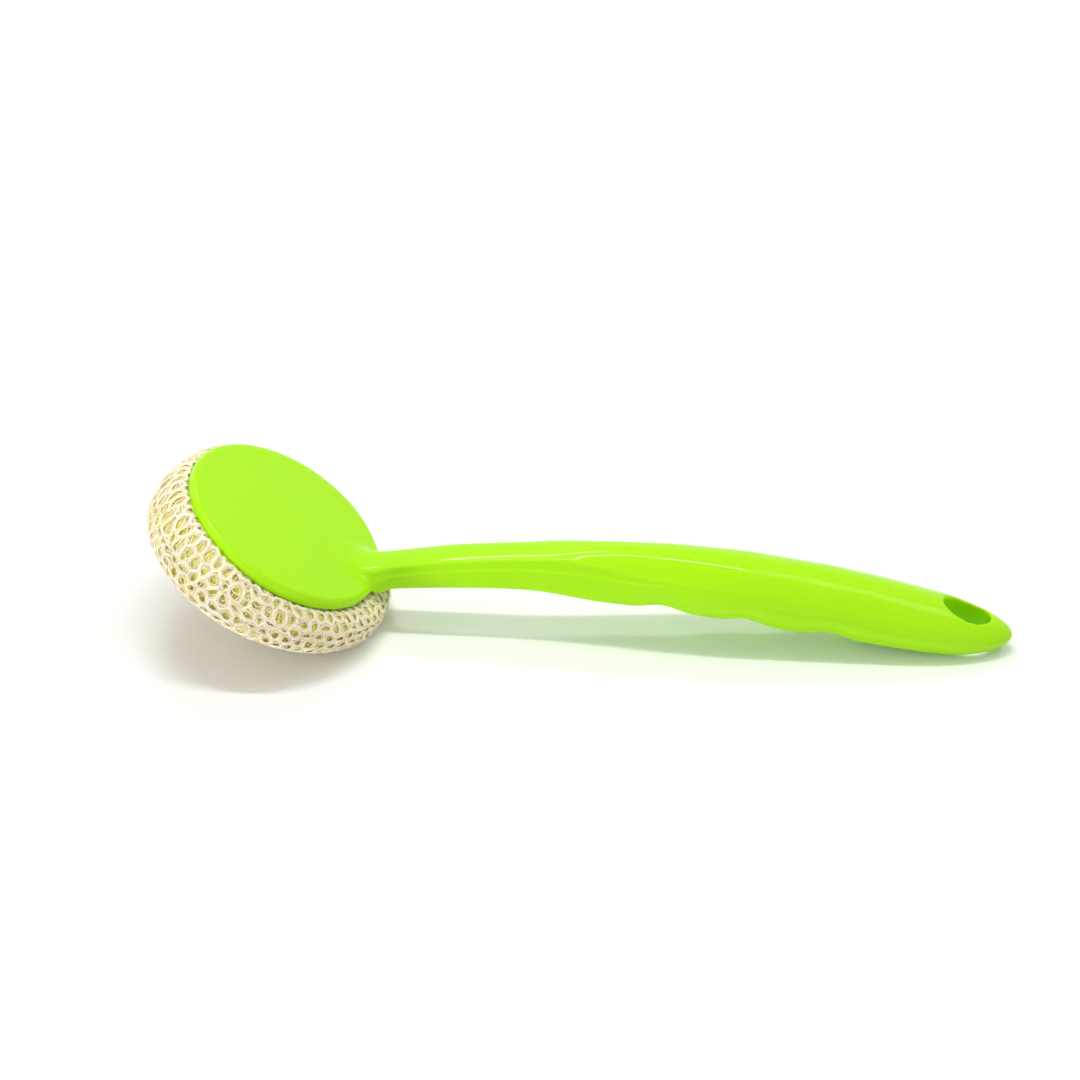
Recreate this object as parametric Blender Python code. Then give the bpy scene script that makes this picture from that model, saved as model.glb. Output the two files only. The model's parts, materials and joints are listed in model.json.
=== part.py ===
"""Kitchen brush with a net-covered scouring sponge, lying on a worktop.

Metres, +Z up. The worktop is the plane z = 0, +X runs from the head to the tail, and the origin is
the middle of the brush's length, on the worktop. Every piece of the head is drawn in the head's own
frame, whose origin is the centre of the cap's flat top: +Z is out of that top, +X is towards the
handle, and a depth is a distance below the top.
"""

import math

import bmesh
import bpy
from mathutils import Matrix, Vector

MM = 0.001

# Fits and tolerances
SEAT_GAP = 0.3 * MM  # between pieces that touch on the real brush
SNAP_CLEARANCE = 0.4 * MM  # round the snap stud, in its bore and in its well
CUT_OVERRUN = 1.0 * MM  # how far a cutter runs past what it cuts
LET_IN = 0.6 * MM  # how far a solid is let into the one that it is joined to

# Cap: the round end of the handle moulding
CAP_DIAMETER = 70 * MM
CAP_DEPTH = 4.4 * MM  # flat top to the lower edge of the skirt
CAP_WALL = 2.0 * MM
SKIRT_WALL = 1.8 * MM
CAP_EDGE_RADIUS = 1.7 * MM
SKIRT_LIP_RADIUS = 0.5 * MM
CAP_TILT = math.radians(34)
RIB_COUNT = 8
RIB_THICKNESS = 1.4 * MM
RIB_HEIGHT = 1.7 * MM
BOSS_DIAMETER = 14.8 * MM
BOSS_LENGTH = 9.4 * MM  # below the cap's wall

# Snap stud, on the plate that holds the net up against the cap
STUD_DIAMETER = 8.6 * MM
STUD_BORE_DIAMETER = 4.4 * MM
BARB_REACH = 0.7 * MM  # how far the barb stands out from the stud
BARB_HEIGHT = 1.6 * MM
STUD_SLIT = 1.2 * MM
STUD_HEADROOM = 0.8 * MM  # between the stud's tip and the cap's wall
PLATE_DIAMETER = 54 * MM
PLATE_THICKNESS = 2.0 * MM
WELL_WALL = 1.6 * MM
DRAIN_COUNT = 6
DRAIN_DIAMETER = 6.5 * MM
DRAIN_CIRCLE_DIAMETER = 36 * MM

# Scouring pad: a foam lens in a net that is gathered above and below it
PAD_DIAMETER = 85.4 * MM
PAD_EQUATOR_DEPTH = 16.6 * MM
PAD_BELLY_HEIGHT = 16.9 * MM  # from the equator down
PAD_BELLY_EXPONENT = 1.6  # 2 is an ellipse, less is more pointed
PAD_SHOULDER_EXPONENT = 3.2
PAD_LEAN = math.radians(6)  # the heel is pressed closer to the cap
PAD_SHIFT = 1.9 * MM  # and pushed out towards the handle
LEAN_FADE_EXPONENT = 3
NAVEL_DIAMETER = 15 * MM
NAVEL_DEPTH = 4.2 * MM
NET_STRAND = 1.7 * MM
NET_COLUMNS = 24
NET_ROWS = 11
NET_ZIGZAG_SHARE = 0.17  # of a row's height, up or down at each knot
CORD_DIAMETER = 1.8 * MM
TIE_DIAMETER = 1.5 * MM
TIE_RING_DIAMETER = 6.6 * MM

# Handle: lengths along it are measured level, from the cap's centre
HANDLE_REACH = 234.8 * MM
NECK_WIDTH = 13.4 * MM
GRIP_WIDTH = 25.6 * MM
GRIP_DEPTH = 19.4 * MM
ROOT_WIDTH = 23 * MM
ROOT_RISE = 5.7 * MM  # the neck's top line above the cap's rim, where it crosses it
ROOT_FILLET = 3.2 * MM
ROOT_INSET = 18 * MM  # how far the root reaches in over the cap
ROOT_SINK = 1.0 * MM  # how far it is let into the cap's wall
ROOT_FADE = 5.5 * MM  # beyond the rim, where the root has become the neck
ARCH_HEIGHT = 13.9 * MM
TAIL_TOP_HEIGHT = 11.5 * MM
NOSE_PLAN_LENGTH = 42 * MM
NOSE_SIDE_LENGTH = 22 * MM
NOSE_EXPONENT = 2.4
WIDEN_START = 70 * MM
WIDEN_END = 150 * MM
SHOULDER_START = 84 * MM
SHOULDER_END = 121 * MM
SOFTENING_START = 118 * MM  # from here the grip's side lines soften
SOFTENING_END = 160 * MM
GROOVE_COUNT = 3
GROOVE_PITCH = 27 * MM
GROOVE_LENGTH = 21 * MM
GROOVE_DEPTH = 1.9 * MM
FIRST_GROOVE = 121.5 * MM
HOLE_LENGTH = 15.6 * MM
HOLE_WIDTH = 11 * MM
HOLE_TO_TAIL = 15.2 * MM  # centre of the hanging hole to the tail's end

# Side lines of the handle: (share of its length, share of the arch's height or of the grip's depth)
ARCH_SHARES = ((0, 0), (0.12, 0.43), (0.25, 0.73), (0.38, 1.01), (0.5, 1.07),
               (0.62, 1), (0.75, 0.78), (0.88, 0.41), (1, 0))
DEPTH_SHARES = ((0, 0.46), (0.12, 0.61), (0.25, 0.73), (0.36, 1), (0.5, 1.11),
                (0.65, 1.16), (0.78, 1.08), (0.9, 0.91), (1, 0.62))

# Half sections from top to bottom: (share of half the width, share of the depth, softness share)
ROOT_SHARES = ((0, 0, 0.5), (0.4, 0.02, 0.4), (0.56, 0.16, 0.4), (0.62, 0.4, 0.5),
               (0.68, 0.62, 0.5), (1, 1, 0.2), (0.5, 1, 0.3), (0, 1, 0.5))
NECK_SHARES = ((0, 0, 0.5), (0.46, 0.01, 0.4), (0.82, 0.06, 0.2), (0.88, 0.28, 0.25),
               (1, 0.35, 0.25), (0.78, 0.94, 0.35), (0.4, 1, 0.25), (0, 1, 0.5))
GRIP_SHARES = ((0, 0, 0.5), (0.46, 0.05, 0.15), (0.91, 0.34, 0.2), (0.935, 0.405, 0.25),
               (1, 0.43, 0.3), (0.74, 0.9, 0.45), (0.36, 1, 0.25), (0, 1, 0.5))
TAIL_SHARES = ((0, 0, 0.5), (0.48, 0.06, 0.5), (0.89, 0.32, 0.5), (0.945, 0.43, 0.5),
               (1, 0.54, 0.5), (0.74, 0.9, 0.45), (0.36, 1, 0.25), (0, 1, 0.5))

# Fineness of the faceted surfaces
CAP_SEGMENTS = 64
ROUND_SEGMENTS = 24
FINE_ROUND_SEGMENTS = 12
EDGE_STEPS = 4
CORNER_STEPS = 2
HANDLE_STATIONS = 62
NOSE_STATIONS = 10
PAD_SEGMENTS = 40
PAD_RINGS = 9
OUTLINE_SAMPLES = 60

GREEN = (0.42, 0.87, 0.01, 1)
WHITE = (0.86, 0.86, 0.83, 1)
FOAM_YELLOW = (0.80, 0.68, 0.20, 1)
NET_CREAM = (0.90, 0.84, 0.66, 1)

# Sizes that follow from the ones above
CAP_RADIUS = CAP_DIAMETER / 2
BOSS_RADIUS = BOSS_DIAMETER / 2
BOSS_END = CAP_WALL + BOSS_LENGTH
NET_TOP_DEPTH = CAP_DEPTH + SEAT_GAP + NET_STRAND / 2  # the net's middle surface under the cap
NET_EYE_RADIUS = BOSS_RADIUS + 2 * SEAT_GAP + CORD_DIAMETER + NET_STRAND / 2
PLATE_TOP_DEPTH = NET_TOP_DEPTH + NET_STRAND / 2 + SEAT_GAP
FLAT_RADIUS = PLATE_DIAMETER / 2 + NET_STRAND  # of the pad's flat top, over the plate
WELL_RADIUS = BOSS_RADIUS + SNAP_CLEARANCE
WELL_FLOOR_DEPTH = BOSS_END + SNAP_CLEARANCE
NAVEL_EYE_RADIUS = (TIE_RING_DIAMETER + TIE_DIAMETER + NET_STRAND) / 2 + SEAT_GAP
RIM_REACH = CAP_RADIUS * math.cos(CAP_TILT)  # level distance from the cap's centre to its rim


def clear_scene():
    for obj in list(bpy.data.objects):
        bpy.data.objects.remove(obj)


def plastic(name, colour, roughness):
    """A material for a piece, in the colour that the photograph shows."""
    material = bpy.data.materials.new(name)
    material.use_nodes = True
    shader = material.node_tree.nodes["Principled BSDF"]
    shader.inputs["Base Color"].default_value = colour
    shader.inputs["Roughness"].default_value = roughness
    shader.inputs["Metallic"].default_value = 0
    material.diffuse_color = colour
    return material


def new_object(name, bm, material=None, smooth_angle=math.radians(35)):
    """Turns a bmesh into a named object with outward faces, shaded smooth but for its sharp edges."""
    bmesh.ops.recalc_face_normals(bm, faces=bm.faces)
    mesh = bpy.data.meshes.new(name)
    bm.to_mesh(mesh)
    bm.free()
    mesh.shade_smooth()
    mesh.set_sharp_from_angle(angle=smooth_angle)
    obj = bpy.data.objects.new(name, mesh)
    bpy.context.scene.collection.objects.link(obj)
    if material:
        mesh.materials.append(material)
    return obj


def smoothstep(low, high, value):
    t = min(max((value - low) / (high - low), 0), 1)
    return t * t * (3 - 2 * t)


def blend(a, b, share):
    return a + (b - a) * share


def smooth_line(points, position):
    """A value read from a Catmull-Rom curve through (position, value) points."""
    last = len(points) - 1
    i = next((k for k in range(last) if position <= points[k + 1][0]), last - 1)
    (x1, y1), (x2, y2) = points[i], points[i + 1]
    x0, y0 = points[i - 1] if i > 0 else (2 * x1 - x2, 2 * y1 - y2)
    x3, y3 = points[i + 2] if i + 2 <= last else (2 * x2 - x1, 2 * y2 - y1)
    span = x2 - x1
    slope1 = (y2 - y0) / (x2 - x0) * span
    slope2 = (y3 - y1) / (x3 - x1) * span
    t = (position - x1) / span
    return ((2 * t**3 - 3 * t**2 + 1) * y1 + (t**3 - 2 * t**2 + t) * slope1
            + (3 * t**2 - 2 * t**3) * y2 + (t**3 - t**2) * slope2)


def skin(bm, rings, closed_ends=True):
    """Joins rings of vertices, each a closed loop, into a tube, and caps it if it has ends."""
    for lower, upper in zip(rings, rings[1:]):
        for i in range(len(lower)):
            j = (i + 1) % len(lower)
            bm.faces.new((lower[i], lower[j], upper[j], upper[i]))
    if closed_ends:
        bm.faces.new(rings[0])
        bm.faces.new(rings[-1])


def fan(bm, ring, tip):
    for i in range(len(ring)):
        bm.faces.new((ring[i], ring[(i + 1) % len(ring)], tip))


def turned(name, profile, segments, material=None):
    """A solid of revolution about Z. The profile's (radius, height) points start and end on the axis."""
    bm = bmesh.new()
    rings = []
    for radius, height in profile[1:-1]:
        angles = [2 * math.pi * k / segments for k in range(segments)]
        rings.append([bm.verts.new((radius * math.cos(a), radius * math.sin(a), height))
                      for a in angles])
    skin(bm, rings, closed_ends=False)
    fan(bm, rings[0], bm.verts.new((0, 0, profile[0][1])))
    fan(bm, rings[-1], bm.verts.new((0, 0, profile[-1][1])))
    return new_object(name, bm, material)


def arc(centre_radius, centre_height, radius, start, end, steps):
    """Points of a round edge in a turned profile. Angles run from the outward direction, upwards."""
    angles = [blend(start, end, k / steps) for k in range(steps + 1)]
    return [(centre_radius + radius * math.cos(a), centre_height + radius * math.sin(a))
            for a in angles]


def torus(bm, ring_radius, tube_radius, height, ring_steps, tube_steps):
    rings = []
    for i in range(ring_steps):
        a = 2 * math.pi * i / ring_steps
        ring = []
        for j in range(tube_steps):
            b = 2 * math.pi * j / tube_steps
            reach = ring_radius + tube_radius * math.cos(b)
            ring.append(bm.verts.new((reach * math.cos(a), reach * math.sin(a),
                                      height + tube_radius * math.sin(b))))
        rings.append(ring)
    skin(bm, rings + [rings[0]], closed_ends=False)


def box(name, low, high):
    bm = bmesh.new()
    bmesh.ops.create_cube(bm, size=1)
    size = Vector(high) - Vector(low)
    centre = (Vector(high) + Vector(low)) / 2
    bmesh.ops.transform(bm, matrix=Matrix.Translation(centre) @ Matrix.Diagonal((*size, 1)),
                        verts=bm.verts)
    return new_object(name, bm)


def as_helper(obj):
    obj.hide_render = True
    obj.display_type = "WIRE"
    return obj


def combine(target, tool, operation):
    """Adds a Boolean that joins the tool to the target or cuts it out."""
    as_helper(tool)
    modifier = target.modifiers.new(f"{operation.lower()} {tool.name}", "BOOLEAN")
    modifier.operation = operation
    modifier.solver = "EXACT"
    modifier.object = tool


# Pad: its outline, and how it lies in the head and on the worktop

def pad_outline(inset, top_depth):
    """Half outline of the pad from the bottom of its belly to the axis above, drawn in from the
    net's outside by the inset. Each point is (radius, height above the equator, lean share)."""
    radius = PAD_DIAMETER / 2 - inset
    belly = PAD_BELLY_HEIGHT - inset
    shoulder = PAD_EQUATOR_DEPTH - top_depth
    points = []
    for k in range(OUTLINE_SAMPLES + 1):
        a = math.pi / 2 * (1 - k / OUTLINE_SAMPLES)
        power = 2 / PAD_BELLY_EXPONENT
        points.append((radius * abs(math.cos(a)) ** power, -belly * math.sin(a) ** power, 1))
    for k in range(1, OUTLINE_SAMPLES + 1):
        a = math.pi / 2 * k / OUTLINE_SAMPLES
        power = 2 / PAD_SHOULDER_EXPONENT
        rise = math.sin(a) ** power
        lean_share = 1 - rise ** LEAN_FADE_EXPONENT
        reach = blend(FLAT_RADIUS, radius, max(math.cos(a), 0) ** power)
        points.append((reach, shoulder * rise, lean_share))
    points.append((0, shoulder, 0))
    return [dimpled(*point, inset) for point in points]


def dimpled(radius, height, lean_share, inset):
    """Draws the middle of the belly up into the navel where the net is tied."""
    navel_radius = NAVEL_DIAMETER / 2 + inset
    if height > 0 or radius > navel_radius:
        return radius, height, lean_share
    share = 1 - smoothstep(0, navel_radius, radius)
    return radius, height + NAVEL_DEPTH * share, lean_share


def spaced_along(points, count, first_radius, last_radius):
    """Points at even steps along an outline, from where its radius first reaches first_radius to
    where, on its way back to the axis, it falls to last_radius."""
    lengths = [0]
    for a, b in zip(points, points[1:]):
        lengths.append(lengths[-1] + math.hypot(b[0] - a[0], b[1] - a[1]))
    widest = max(range(len(points)), key=lambda k: points[k][0])

    def length_at(radius, pairs):
        for k in pairs:
            r1, r2 = points[k][0], points[k + 1][0]
            if min(r1, r2) <= radius <= max(r1, r2) and r1 != r2:
                return blend(lengths[k], lengths[k + 1], (radius - r1) / (r2 - r1))
        raise ValueError("the outline doesn't reach that radius")

    start = length_at(first_radius, range(widest))
    end = length_at(last_radius, range(len(points) - 2, widest - 1, -1))
    found = []
    for i in range(count + 1):
        want = blend(start, end, i / count)
        k = next(n for n in range(len(points) - 1) if want <= lengths[n + 1] or n == len(points) - 2)
        share = (want - lengths[k]) / (lengths[k + 1] - lengths[k])
        found.append(tuple(blend(p, q, share) for p, q in zip(points[k], points[k + 1])))
    return found


def on_pad(radius, height, lean_share, angle):
    """A point of the pad in the head's frame. The pad leans about the middle of its equator."""
    lean = PAD_LEAN * lean_share
    x = radius * math.cos(angle)
    leaned_x = x * math.cos(lean) - height * math.sin(lean)
    leaned_z = x * math.sin(lean) + height * math.cos(lean)
    return Vector((leaned_x + PAD_SHIFT * lean_share, radius * math.sin(angle),
                   leaned_z - PAD_EQUATOR_DEPTH))


def head_placement():
    """The matrix that carries the head's frame to the worktop's, with the pad's lowest place on it and
    the brush's length centred on the origin."""
    turn = Matrix.Rotation(CAP_TILT, 4, "Y")
    outside = pad_outline(0, CAP_DEPTH)
    ends = [turn @ on_pad(*point, angle) for point in outside for angle in (0, math.pi)]
    height = -min(p.z for p in ends)
    toe = min(p.x for p in ends)
    return Matrix.Translation((-(toe + HANDLE_REACH) / 2, 0, height)) @ turn


HEAD = head_placement()


def pressed(point, floor):
    """A point of the head, lifted where it would lie lower than floor above the worktop."""
    world = HEAD @ point
    world.z = max(world.z, floor)
    return HEAD.inverted() @ world


def in_head(obj):
    """Hangs a piece that is drawn in the head's frame on that frame's empty."""
    obj.parent = HEAD_FRAME
    return obj


# Cap, with its ribs and the bore that takes the snap stud

def cap_blank():
    edge = CAP_EDGE_RADIUS
    lip = SKIRT_LIP_RADIUS
    profile = [(0, 0)]
    profile += arc(CAP_RADIUS - edge, -edge, edge, math.pi / 2, 0, EDGE_STEPS)
    profile += arc(CAP_RADIUS - lip, lip - CAP_DEPTH, lip, 0, -math.pi / 2, EDGE_STEPS // 2)
    profile += [(0, -CAP_DEPTH)]
    return turned("cap_blank", profile, CAP_SEGMENTS)


def cap_cavity():
    """What is open under the cap, inside its skirt."""
    radius = CAP_RADIUS - SKIRT_WALL
    bottom = -CAP_DEPTH - CUT_OVERRUN
    profile = [(0, -CAP_WALL), (radius, -CAP_WALL), (radius, bottom), (0, bottom)]
    return turned("cap_cavity", profile, CAP_SEGMENTS)


def barb_depths():
    """Depths of the barb's tip and of its shoulder, and of the groove that it sits in."""
    tip = CAP_WALL + STUD_HEADROOM
    return tip, tip + BARB_HEIGHT


def boss():
    """Tube under the middle of the cap. A groove inside it holds the stud's barbs."""
    inside = STUD_DIAMETER / 2 + SNAP_CLEARANCE
    groove = inside + BARB_REACH
    tip, shoulder = barb_depths()
    top = -CAP_WALL / 2
    ceiling = LET_IN - CAP_WALL
    below = shoulder + SNAP_CLEARANCE
    profile = [(0, top), (BOSS_RADIUS, top), (BOSS_RADIUS, -BOSS_END), (inside, -BOSS_END),
               (inside, -below), (groove, -below), (groove, -tip), (inside, ceiling), (0, ceiling)]
    return turned("boss", profile, ROUND_SEGMENTS)


def rib(index):
    """A stiffening rib from the boss to the skirt, let into both and into the cap's wall."""
    low = (BOSS_RADIUS - LET_IN, -RIB_THICKNESS / 2, -CAP_WALL - RIB_HEIGHT)
    high = (CAP_RADIUS - SKIRT_WALL + LET_IN, RIB_THICKNESS / 2, LET_IN - CAP_WALL)
    obj = box(f"rib_{index}", low, high)
    obj.rotation_euler.z = 2 * math.pi * (index + 0.5) / RIB_COUNT
    return obj


# Handle: its side lines, its sections and the hanging hole

def cap_top_line(reach):
    """Height of the cap's flat top, carried on, at a level distance from the cap's centre."""
    return HEAD.translation.z - reach * math.tan(CAP_TILT)


def groove_lift(reach):
    """How far the finger grooves lift the underside."""
    lift = 0
    for i in range(GROOVE_COUNT):
        offset = reach - FIRST_GROOVE - i * GROOVE_PITCH
        if abs(offset) < GROOVE_LENGTH / 2:
            lift += GROOVE_DEPTH * math.cos(math.pi * offset / GROOVE_LENGTH) ** 2
    return lift


def free_lines(reach):
    """Top and bottom heights of the handle as it would run without the cap and the round nose."""
    share = (reach - RIM_REACH) / (HANDLE_REACH - RIM_REACH)
    rim_height = cap_top_line(RIM_REACH)
    chord = blend(rim_height + ROOT_RISE, TAIL_TOP_HEIGHT, share)
    within = min(max(share, 0), 1)
    top = chord + ARCH_HEIGHT * smooth_line(ARCH_SHARES, within)
    if share < 0:
        top += ARCH_HEIGHT * share * ARCH_SHARES[1][1] / ARCH_SHARES[1][0]
    bottom = top - GRIP_DEPTH * smooth_line(DEPTH_SHARES, within) + groove_lift(reach)
    return top, bottom


def nose(reach, length):
    """How much of its full size the tail keeps, as it closes in a round nose."""
    t = min(max((reach - HANDLE_REACH + length) / length, 0), 1)
    return (1 - t**NOSE_EXPONENT) ** 0.5


def side_lines(reach):
    """Top and bottom heights, closed in at the tail by the round nose and eased into the cap by a
    hollow fillet."""
    free_top, free_bottom = free_lines(reach)
    middle = (free_top + free_bottom) / 2
    keep = nose(reach, NOSE_SIDE_LENGTH)
    top = blend(middle, free_top, keep)
    bottom = blend(middle, free_bottom, keep)
    plane = cap_top_line(reach)
    start = RIM_REACH - ROOT_INSET
    fillet = ROOT_FILLET * smoothstep(start, start + ROOT_INSET / 3, reach)
    eased = (top + plane + math.hypot(top - plane, fillet)) / 2
    eased -= ROOT_SINK / 2 * (1 - smoothstep(start, start + ROOT_INSET / 3, reach))
    let_in = 1 - smoothstep(RIM_REACH - ROOT_SINK * 3, RIM_REACH + ROOT_SINK, reach)
    return eased, blend(bottom, plane - ROOT_SINK, let_in)


def half_width(reach):
    widening = smoothstep(WIDEN_START, WIDEN_END, reach)
    root = 1 - smoothstep(RIM_REACH - ROOT_FADE, RIM_REACH + ROOT_FADE, reach)
    width = blend(NECK_WIDTH, GRIP_WIDTH, widening)
    return blend(width, ROOT_WIDTH, root) / 2 * nose(reach, NOSE_PLAN_LENGTH)


def section_shares(reach):
    """The half section's corners at a place along the handle, where one form runs into the next."""
    neck = smoothstep(RIM_REACH - ROOT_FADE, RIM_REACH + ROOT_FADE, reach)
    grip = smoothstep(SHOULDER_START, SHOULDER_END, reach)
    tail = smoothstep(SOFTENING_START, SOFTENING_END, reach)
    corners = []
    for forms in zip(ROOT_SHARES, NECK_SHARES, GRIP_SHARES, TAIL_SHARES):
        corner = forms[0]
        for form, share in zip(forms[1:], (neck, grip, tail)):
            corner = [blend(a, b, share) for a, b in zip(corner, form)]
        corners.append(corner)
    return corners


def section(reach):
    """The whole outline of a section as (y, z) points, each corner rounded by its softness."""
    top, bottom = side_lines(reach)
    width = half_width(reach)
    half = [(w * width, top - d * (top - bottom), s) for w, d, s in section_shares(reach)]
    corners = half + [(-y, z, s) for y, z, s in half[-2:0:-1]]
    outline = []
    for i, (y, z, soft) in enumerate(corners):
        before, after = corners[i - 1], corners[(i + 1) % len(corners)]
        if y == 0:
            outline.append((y, z))
            continue
        for k in range(CORNER_STEPS + 1):
            t = k / CORNER_STEPS
            point = []
            for axis in (0, 1):
                here = corners[i][axis]
                start = blend(here, before[axis], soft)
                end = blend(here, after[axis], soft)
                point.append(blend(blend(start, here, t), blend(here, end, t), t))
            outline.append(tuple(point))
    return outline


def stations():
    """Where the handle's sections stand: evenly, and closer together towards the tip of the nose."""
    start = RIM_REACH - ROOT_INSET
    body_end = HANDLE_REACH - NOSE_SIDE_LENGTH
    body = [blend(start, body_end, k / HANDLE_STATIONS) for k in range(HANDLE_STATIONS)]
    tip = [blend(body_end, HANDLE_REACH, math.sin(math.pi / 2 * k / NOSE_STATIONS))
           for k in range(NOSE_STATIONS)]
    return body + tip


def lowest_beside_hole(ring, reach):
    """Height of a section's lowest point outside the hanging hole."""
    offset = (reach - HANDLE_REACH + HOLE_TO_TAIL) / (HOLE_LENGTH / 2)
    half = HOLE_WIDTH / 2 * math.sqrt(max(1 - offset**2, 0))
    heights = [z for y, z in ring if abs(y) >= half]
    for (y1, z1), (y2, z2) in zip(ring, ring[1:] + ring[:1]):
        heights += [blend(z1, z2, (edge - y1) / (y2 - y1)) for edge in (-half, half)
                    if (y1 - edge) * (y2 - edge) < 0]
    return min(heights)


def handle_body():
    """The lofted handle, let down in proportion to its reach so that its tail lies on z = 0."""
    def share(reach):
        return max((reach - RIM_REACH) / (HANDLE_REACH - RIM_REACH), 0)

    tail = [HANDLE_REACH - NOSE_PLAN_LENGTH * k / OUTLINE_SAMPLES for k in range(OUTLINE_SAMPLES)]
    drop = min(lowest_beside_hole(section(reach), reach) / share(reach) for reach in tail)
    bm = bmesh.new()
    rings = []
    for reach in stations():
        x = HEAD.translation.x + reach
        rings.append([bm.verts.new((x, y, z - drop * share(reach))) for y, z in section(reach)])
    skin(bm, rings, closed_ends=False)
    bm.faces.new(rings[0])
    tip_height = sum(side_lines(HANDLE_REACH)) / 2 - drop
    fan(bm, rings[-1], bm.verts.new((HEAD.translation.x + HANDLE_REACH, 0, tip_height)))
    return new_object("handle_body", bm)


def hanging_hole():
    """An oval that runs straight down through the tail."""
    centre = HEAD.translation.x + HANDLE_REACH - HOLE_TO_TAIL
    top = TAIL_TOP_HEIGHT + ARCH_HEIGHT
    bm = bmesh.new()
    rings = []
    for z in (-CUT_OVERRUN, top):
        angles = [2 * math.pi * k / ROUND_SEGMENTS for k in range(ROUND_SEGMENTS)]
        rings.append([bm.verts.new((centre + HOLE_LENGTH / 2 * math.cos(a),
                                    HOLE_WIDTH / 2 * math.sin(a), z)) for a in angles])
    skin(bm, rings)
    return new_object("hanging_hole", bm)


def make_handle(material):
    """Grip, neck and cap are one moulding."""
    handle = handle_body()
    handle.name = "handle"
    handle.data.materials.append(material)
    combine(handle, in_head(cap_blank()), "UNION")
    combine(handle, in_head(cap_cavity()), "DIFFERENCE")
    tube = in_head(boss())
    for i in range(RIB_COUNT):
        combine(tube, in_head(rib(i)), "UNION")
    combine(handle, tube, "UNION")
    combine(handle, hanging_hole(), "DIFFERENCE")
    return handle


# Pieces of the head that are drawn in its frame

def make_plate(material):
    """Round plate that clamps the net to the cap. Its stud rises from a well and snaps into the boss."""
    stud = STUD_DIAMETER / 2
    bore = STUD_BORE_DIAMETER / 2
    barb = stud + BARB_REACH
    tip, shoulder = barb_depths()
    tip += SNAP_CLEARANCE
    top = PLATE_TOP_DEPTH
    under = top + PLATE_THICKNESS
    floor = WELL_FLOOR_DEPTH
    base = floor + WELL_WALL
    outer = PLATE_DIAMETER / 2
    round_edge = arc(outer - PLATE_THICKNESS / 2, -top - PLATE_THICKNESS / 2, PLATE_THICKNESS / 2,
                     math.pi / 2, -math.pi / 2, EDGE_STEPS)
    profile = [(0, -floor), (bore, -floor), (bore, -tip), (stud, -tip), (barb, -shoulder),
               (stud, -shoulder), (stud, -floor), (WELL_RADIUS, -floor), (WELL_RADIUS, -top)]
    profile += round_edge
    profile += [(WELL_RADIUS + WELL_WALL, -under), (WELL_RADIUS + WELL_WALL, -base), (0, -base)]
    plate = turned("retaining_plate", profile, ROUND_SEGMENTS, material)
    slit = box("stud_slit", (-barb - CUT_OVERRUN, -STUD_SLIT / 2, PLATE_THICKNESS - floor),
               (barb + CUT_OVERRUN, STUD_SLIT / 2, CUT_OVERRUN - tip))
    combine(plate, in_head(slit), "DIFFERENCE")
    for i in range(DRAIN_COUNT):
        drain = turned(f"drain_{i}", [(0, -top + CUT_OVERRUN),
                                      (DRAIN_DIAMETER / 2, -top + CUT_OVERRUN),
                                      (DRAIN_DIAMETER / 2, -under - CUT_OVERRUN),
                                      (0, -under - CUT_OVERRUN)], FINE_ROUND_SEGMENTS)
        angle = 2 * math.pi * i / DRAIN_COUNT
        reach = DRAIN_CIRCLE_DIAMETER / 2
        drain.location = (reach * math.cos(angle), reach * math.sin(angle), 0)
        drain.rotation_euler.z = math.pi / FINE_ROUND_SEGMENTS
        combine(plate, in_head(drain), "DIFFERENCE")
    return in_head(plate)


def make_foam(material):
    """Foam lens inside the net, with a seat for the plate and a pocket for its well."""
    inset = NET_STRAND + 2 * SEAT_GAP
    seat_radius = PLATE_DIAMETER / 2 + SEAT_GAP
    top = PLATE_TOP_DEPTH + SEAT_GAP
    under = PLATE_TOP_DEPTH + PLATE_THICKNESS + SEAT_GAP
    pocket_radius = WELL_RADIUS + WELL_WALL + SEAT_GAP
    pocket_depth = WELL_FLOOR_DEPTH + WELL_WALL + SEAT_GAP
    outline = pad_outline(inset, top)
    outside = spaced_along(outline, 2 * PAD_RINGS, NAVEL_EYE_RADIUS, seat_radius)
    inside = [(seat_radius, under), (pocket_radius, under), (pocket_radius, pocket_depth)]
    bm = bmesh.new()
    angles = [2 * math.pi * k / PAD_SEGMENTS for k in range(PAD_SEGMENTS)]
    floor = NET_STRAND + SEAT_GAP
    rings = [[bm.verts.new(pressed(on_pad(*point, a), floor)) for a in angles]
             for point in outside]
    for radius, depth in inside:
        rings.append([bm.verts.new((radius * math.cos(a), radius * math.sin(a), -depth))
                      for a in angles])
    skin(bm, rings, closed_ends=False)
    fan(bm, rings[0], bm.verts.new(on_pad(0, outside[0][1], 1, 0)))
    fan(bm, rings[-1], bm.verts.new((0, 0, -pocket_depth)))
    return in_head(new_object("foam_core", bm, material))


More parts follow.
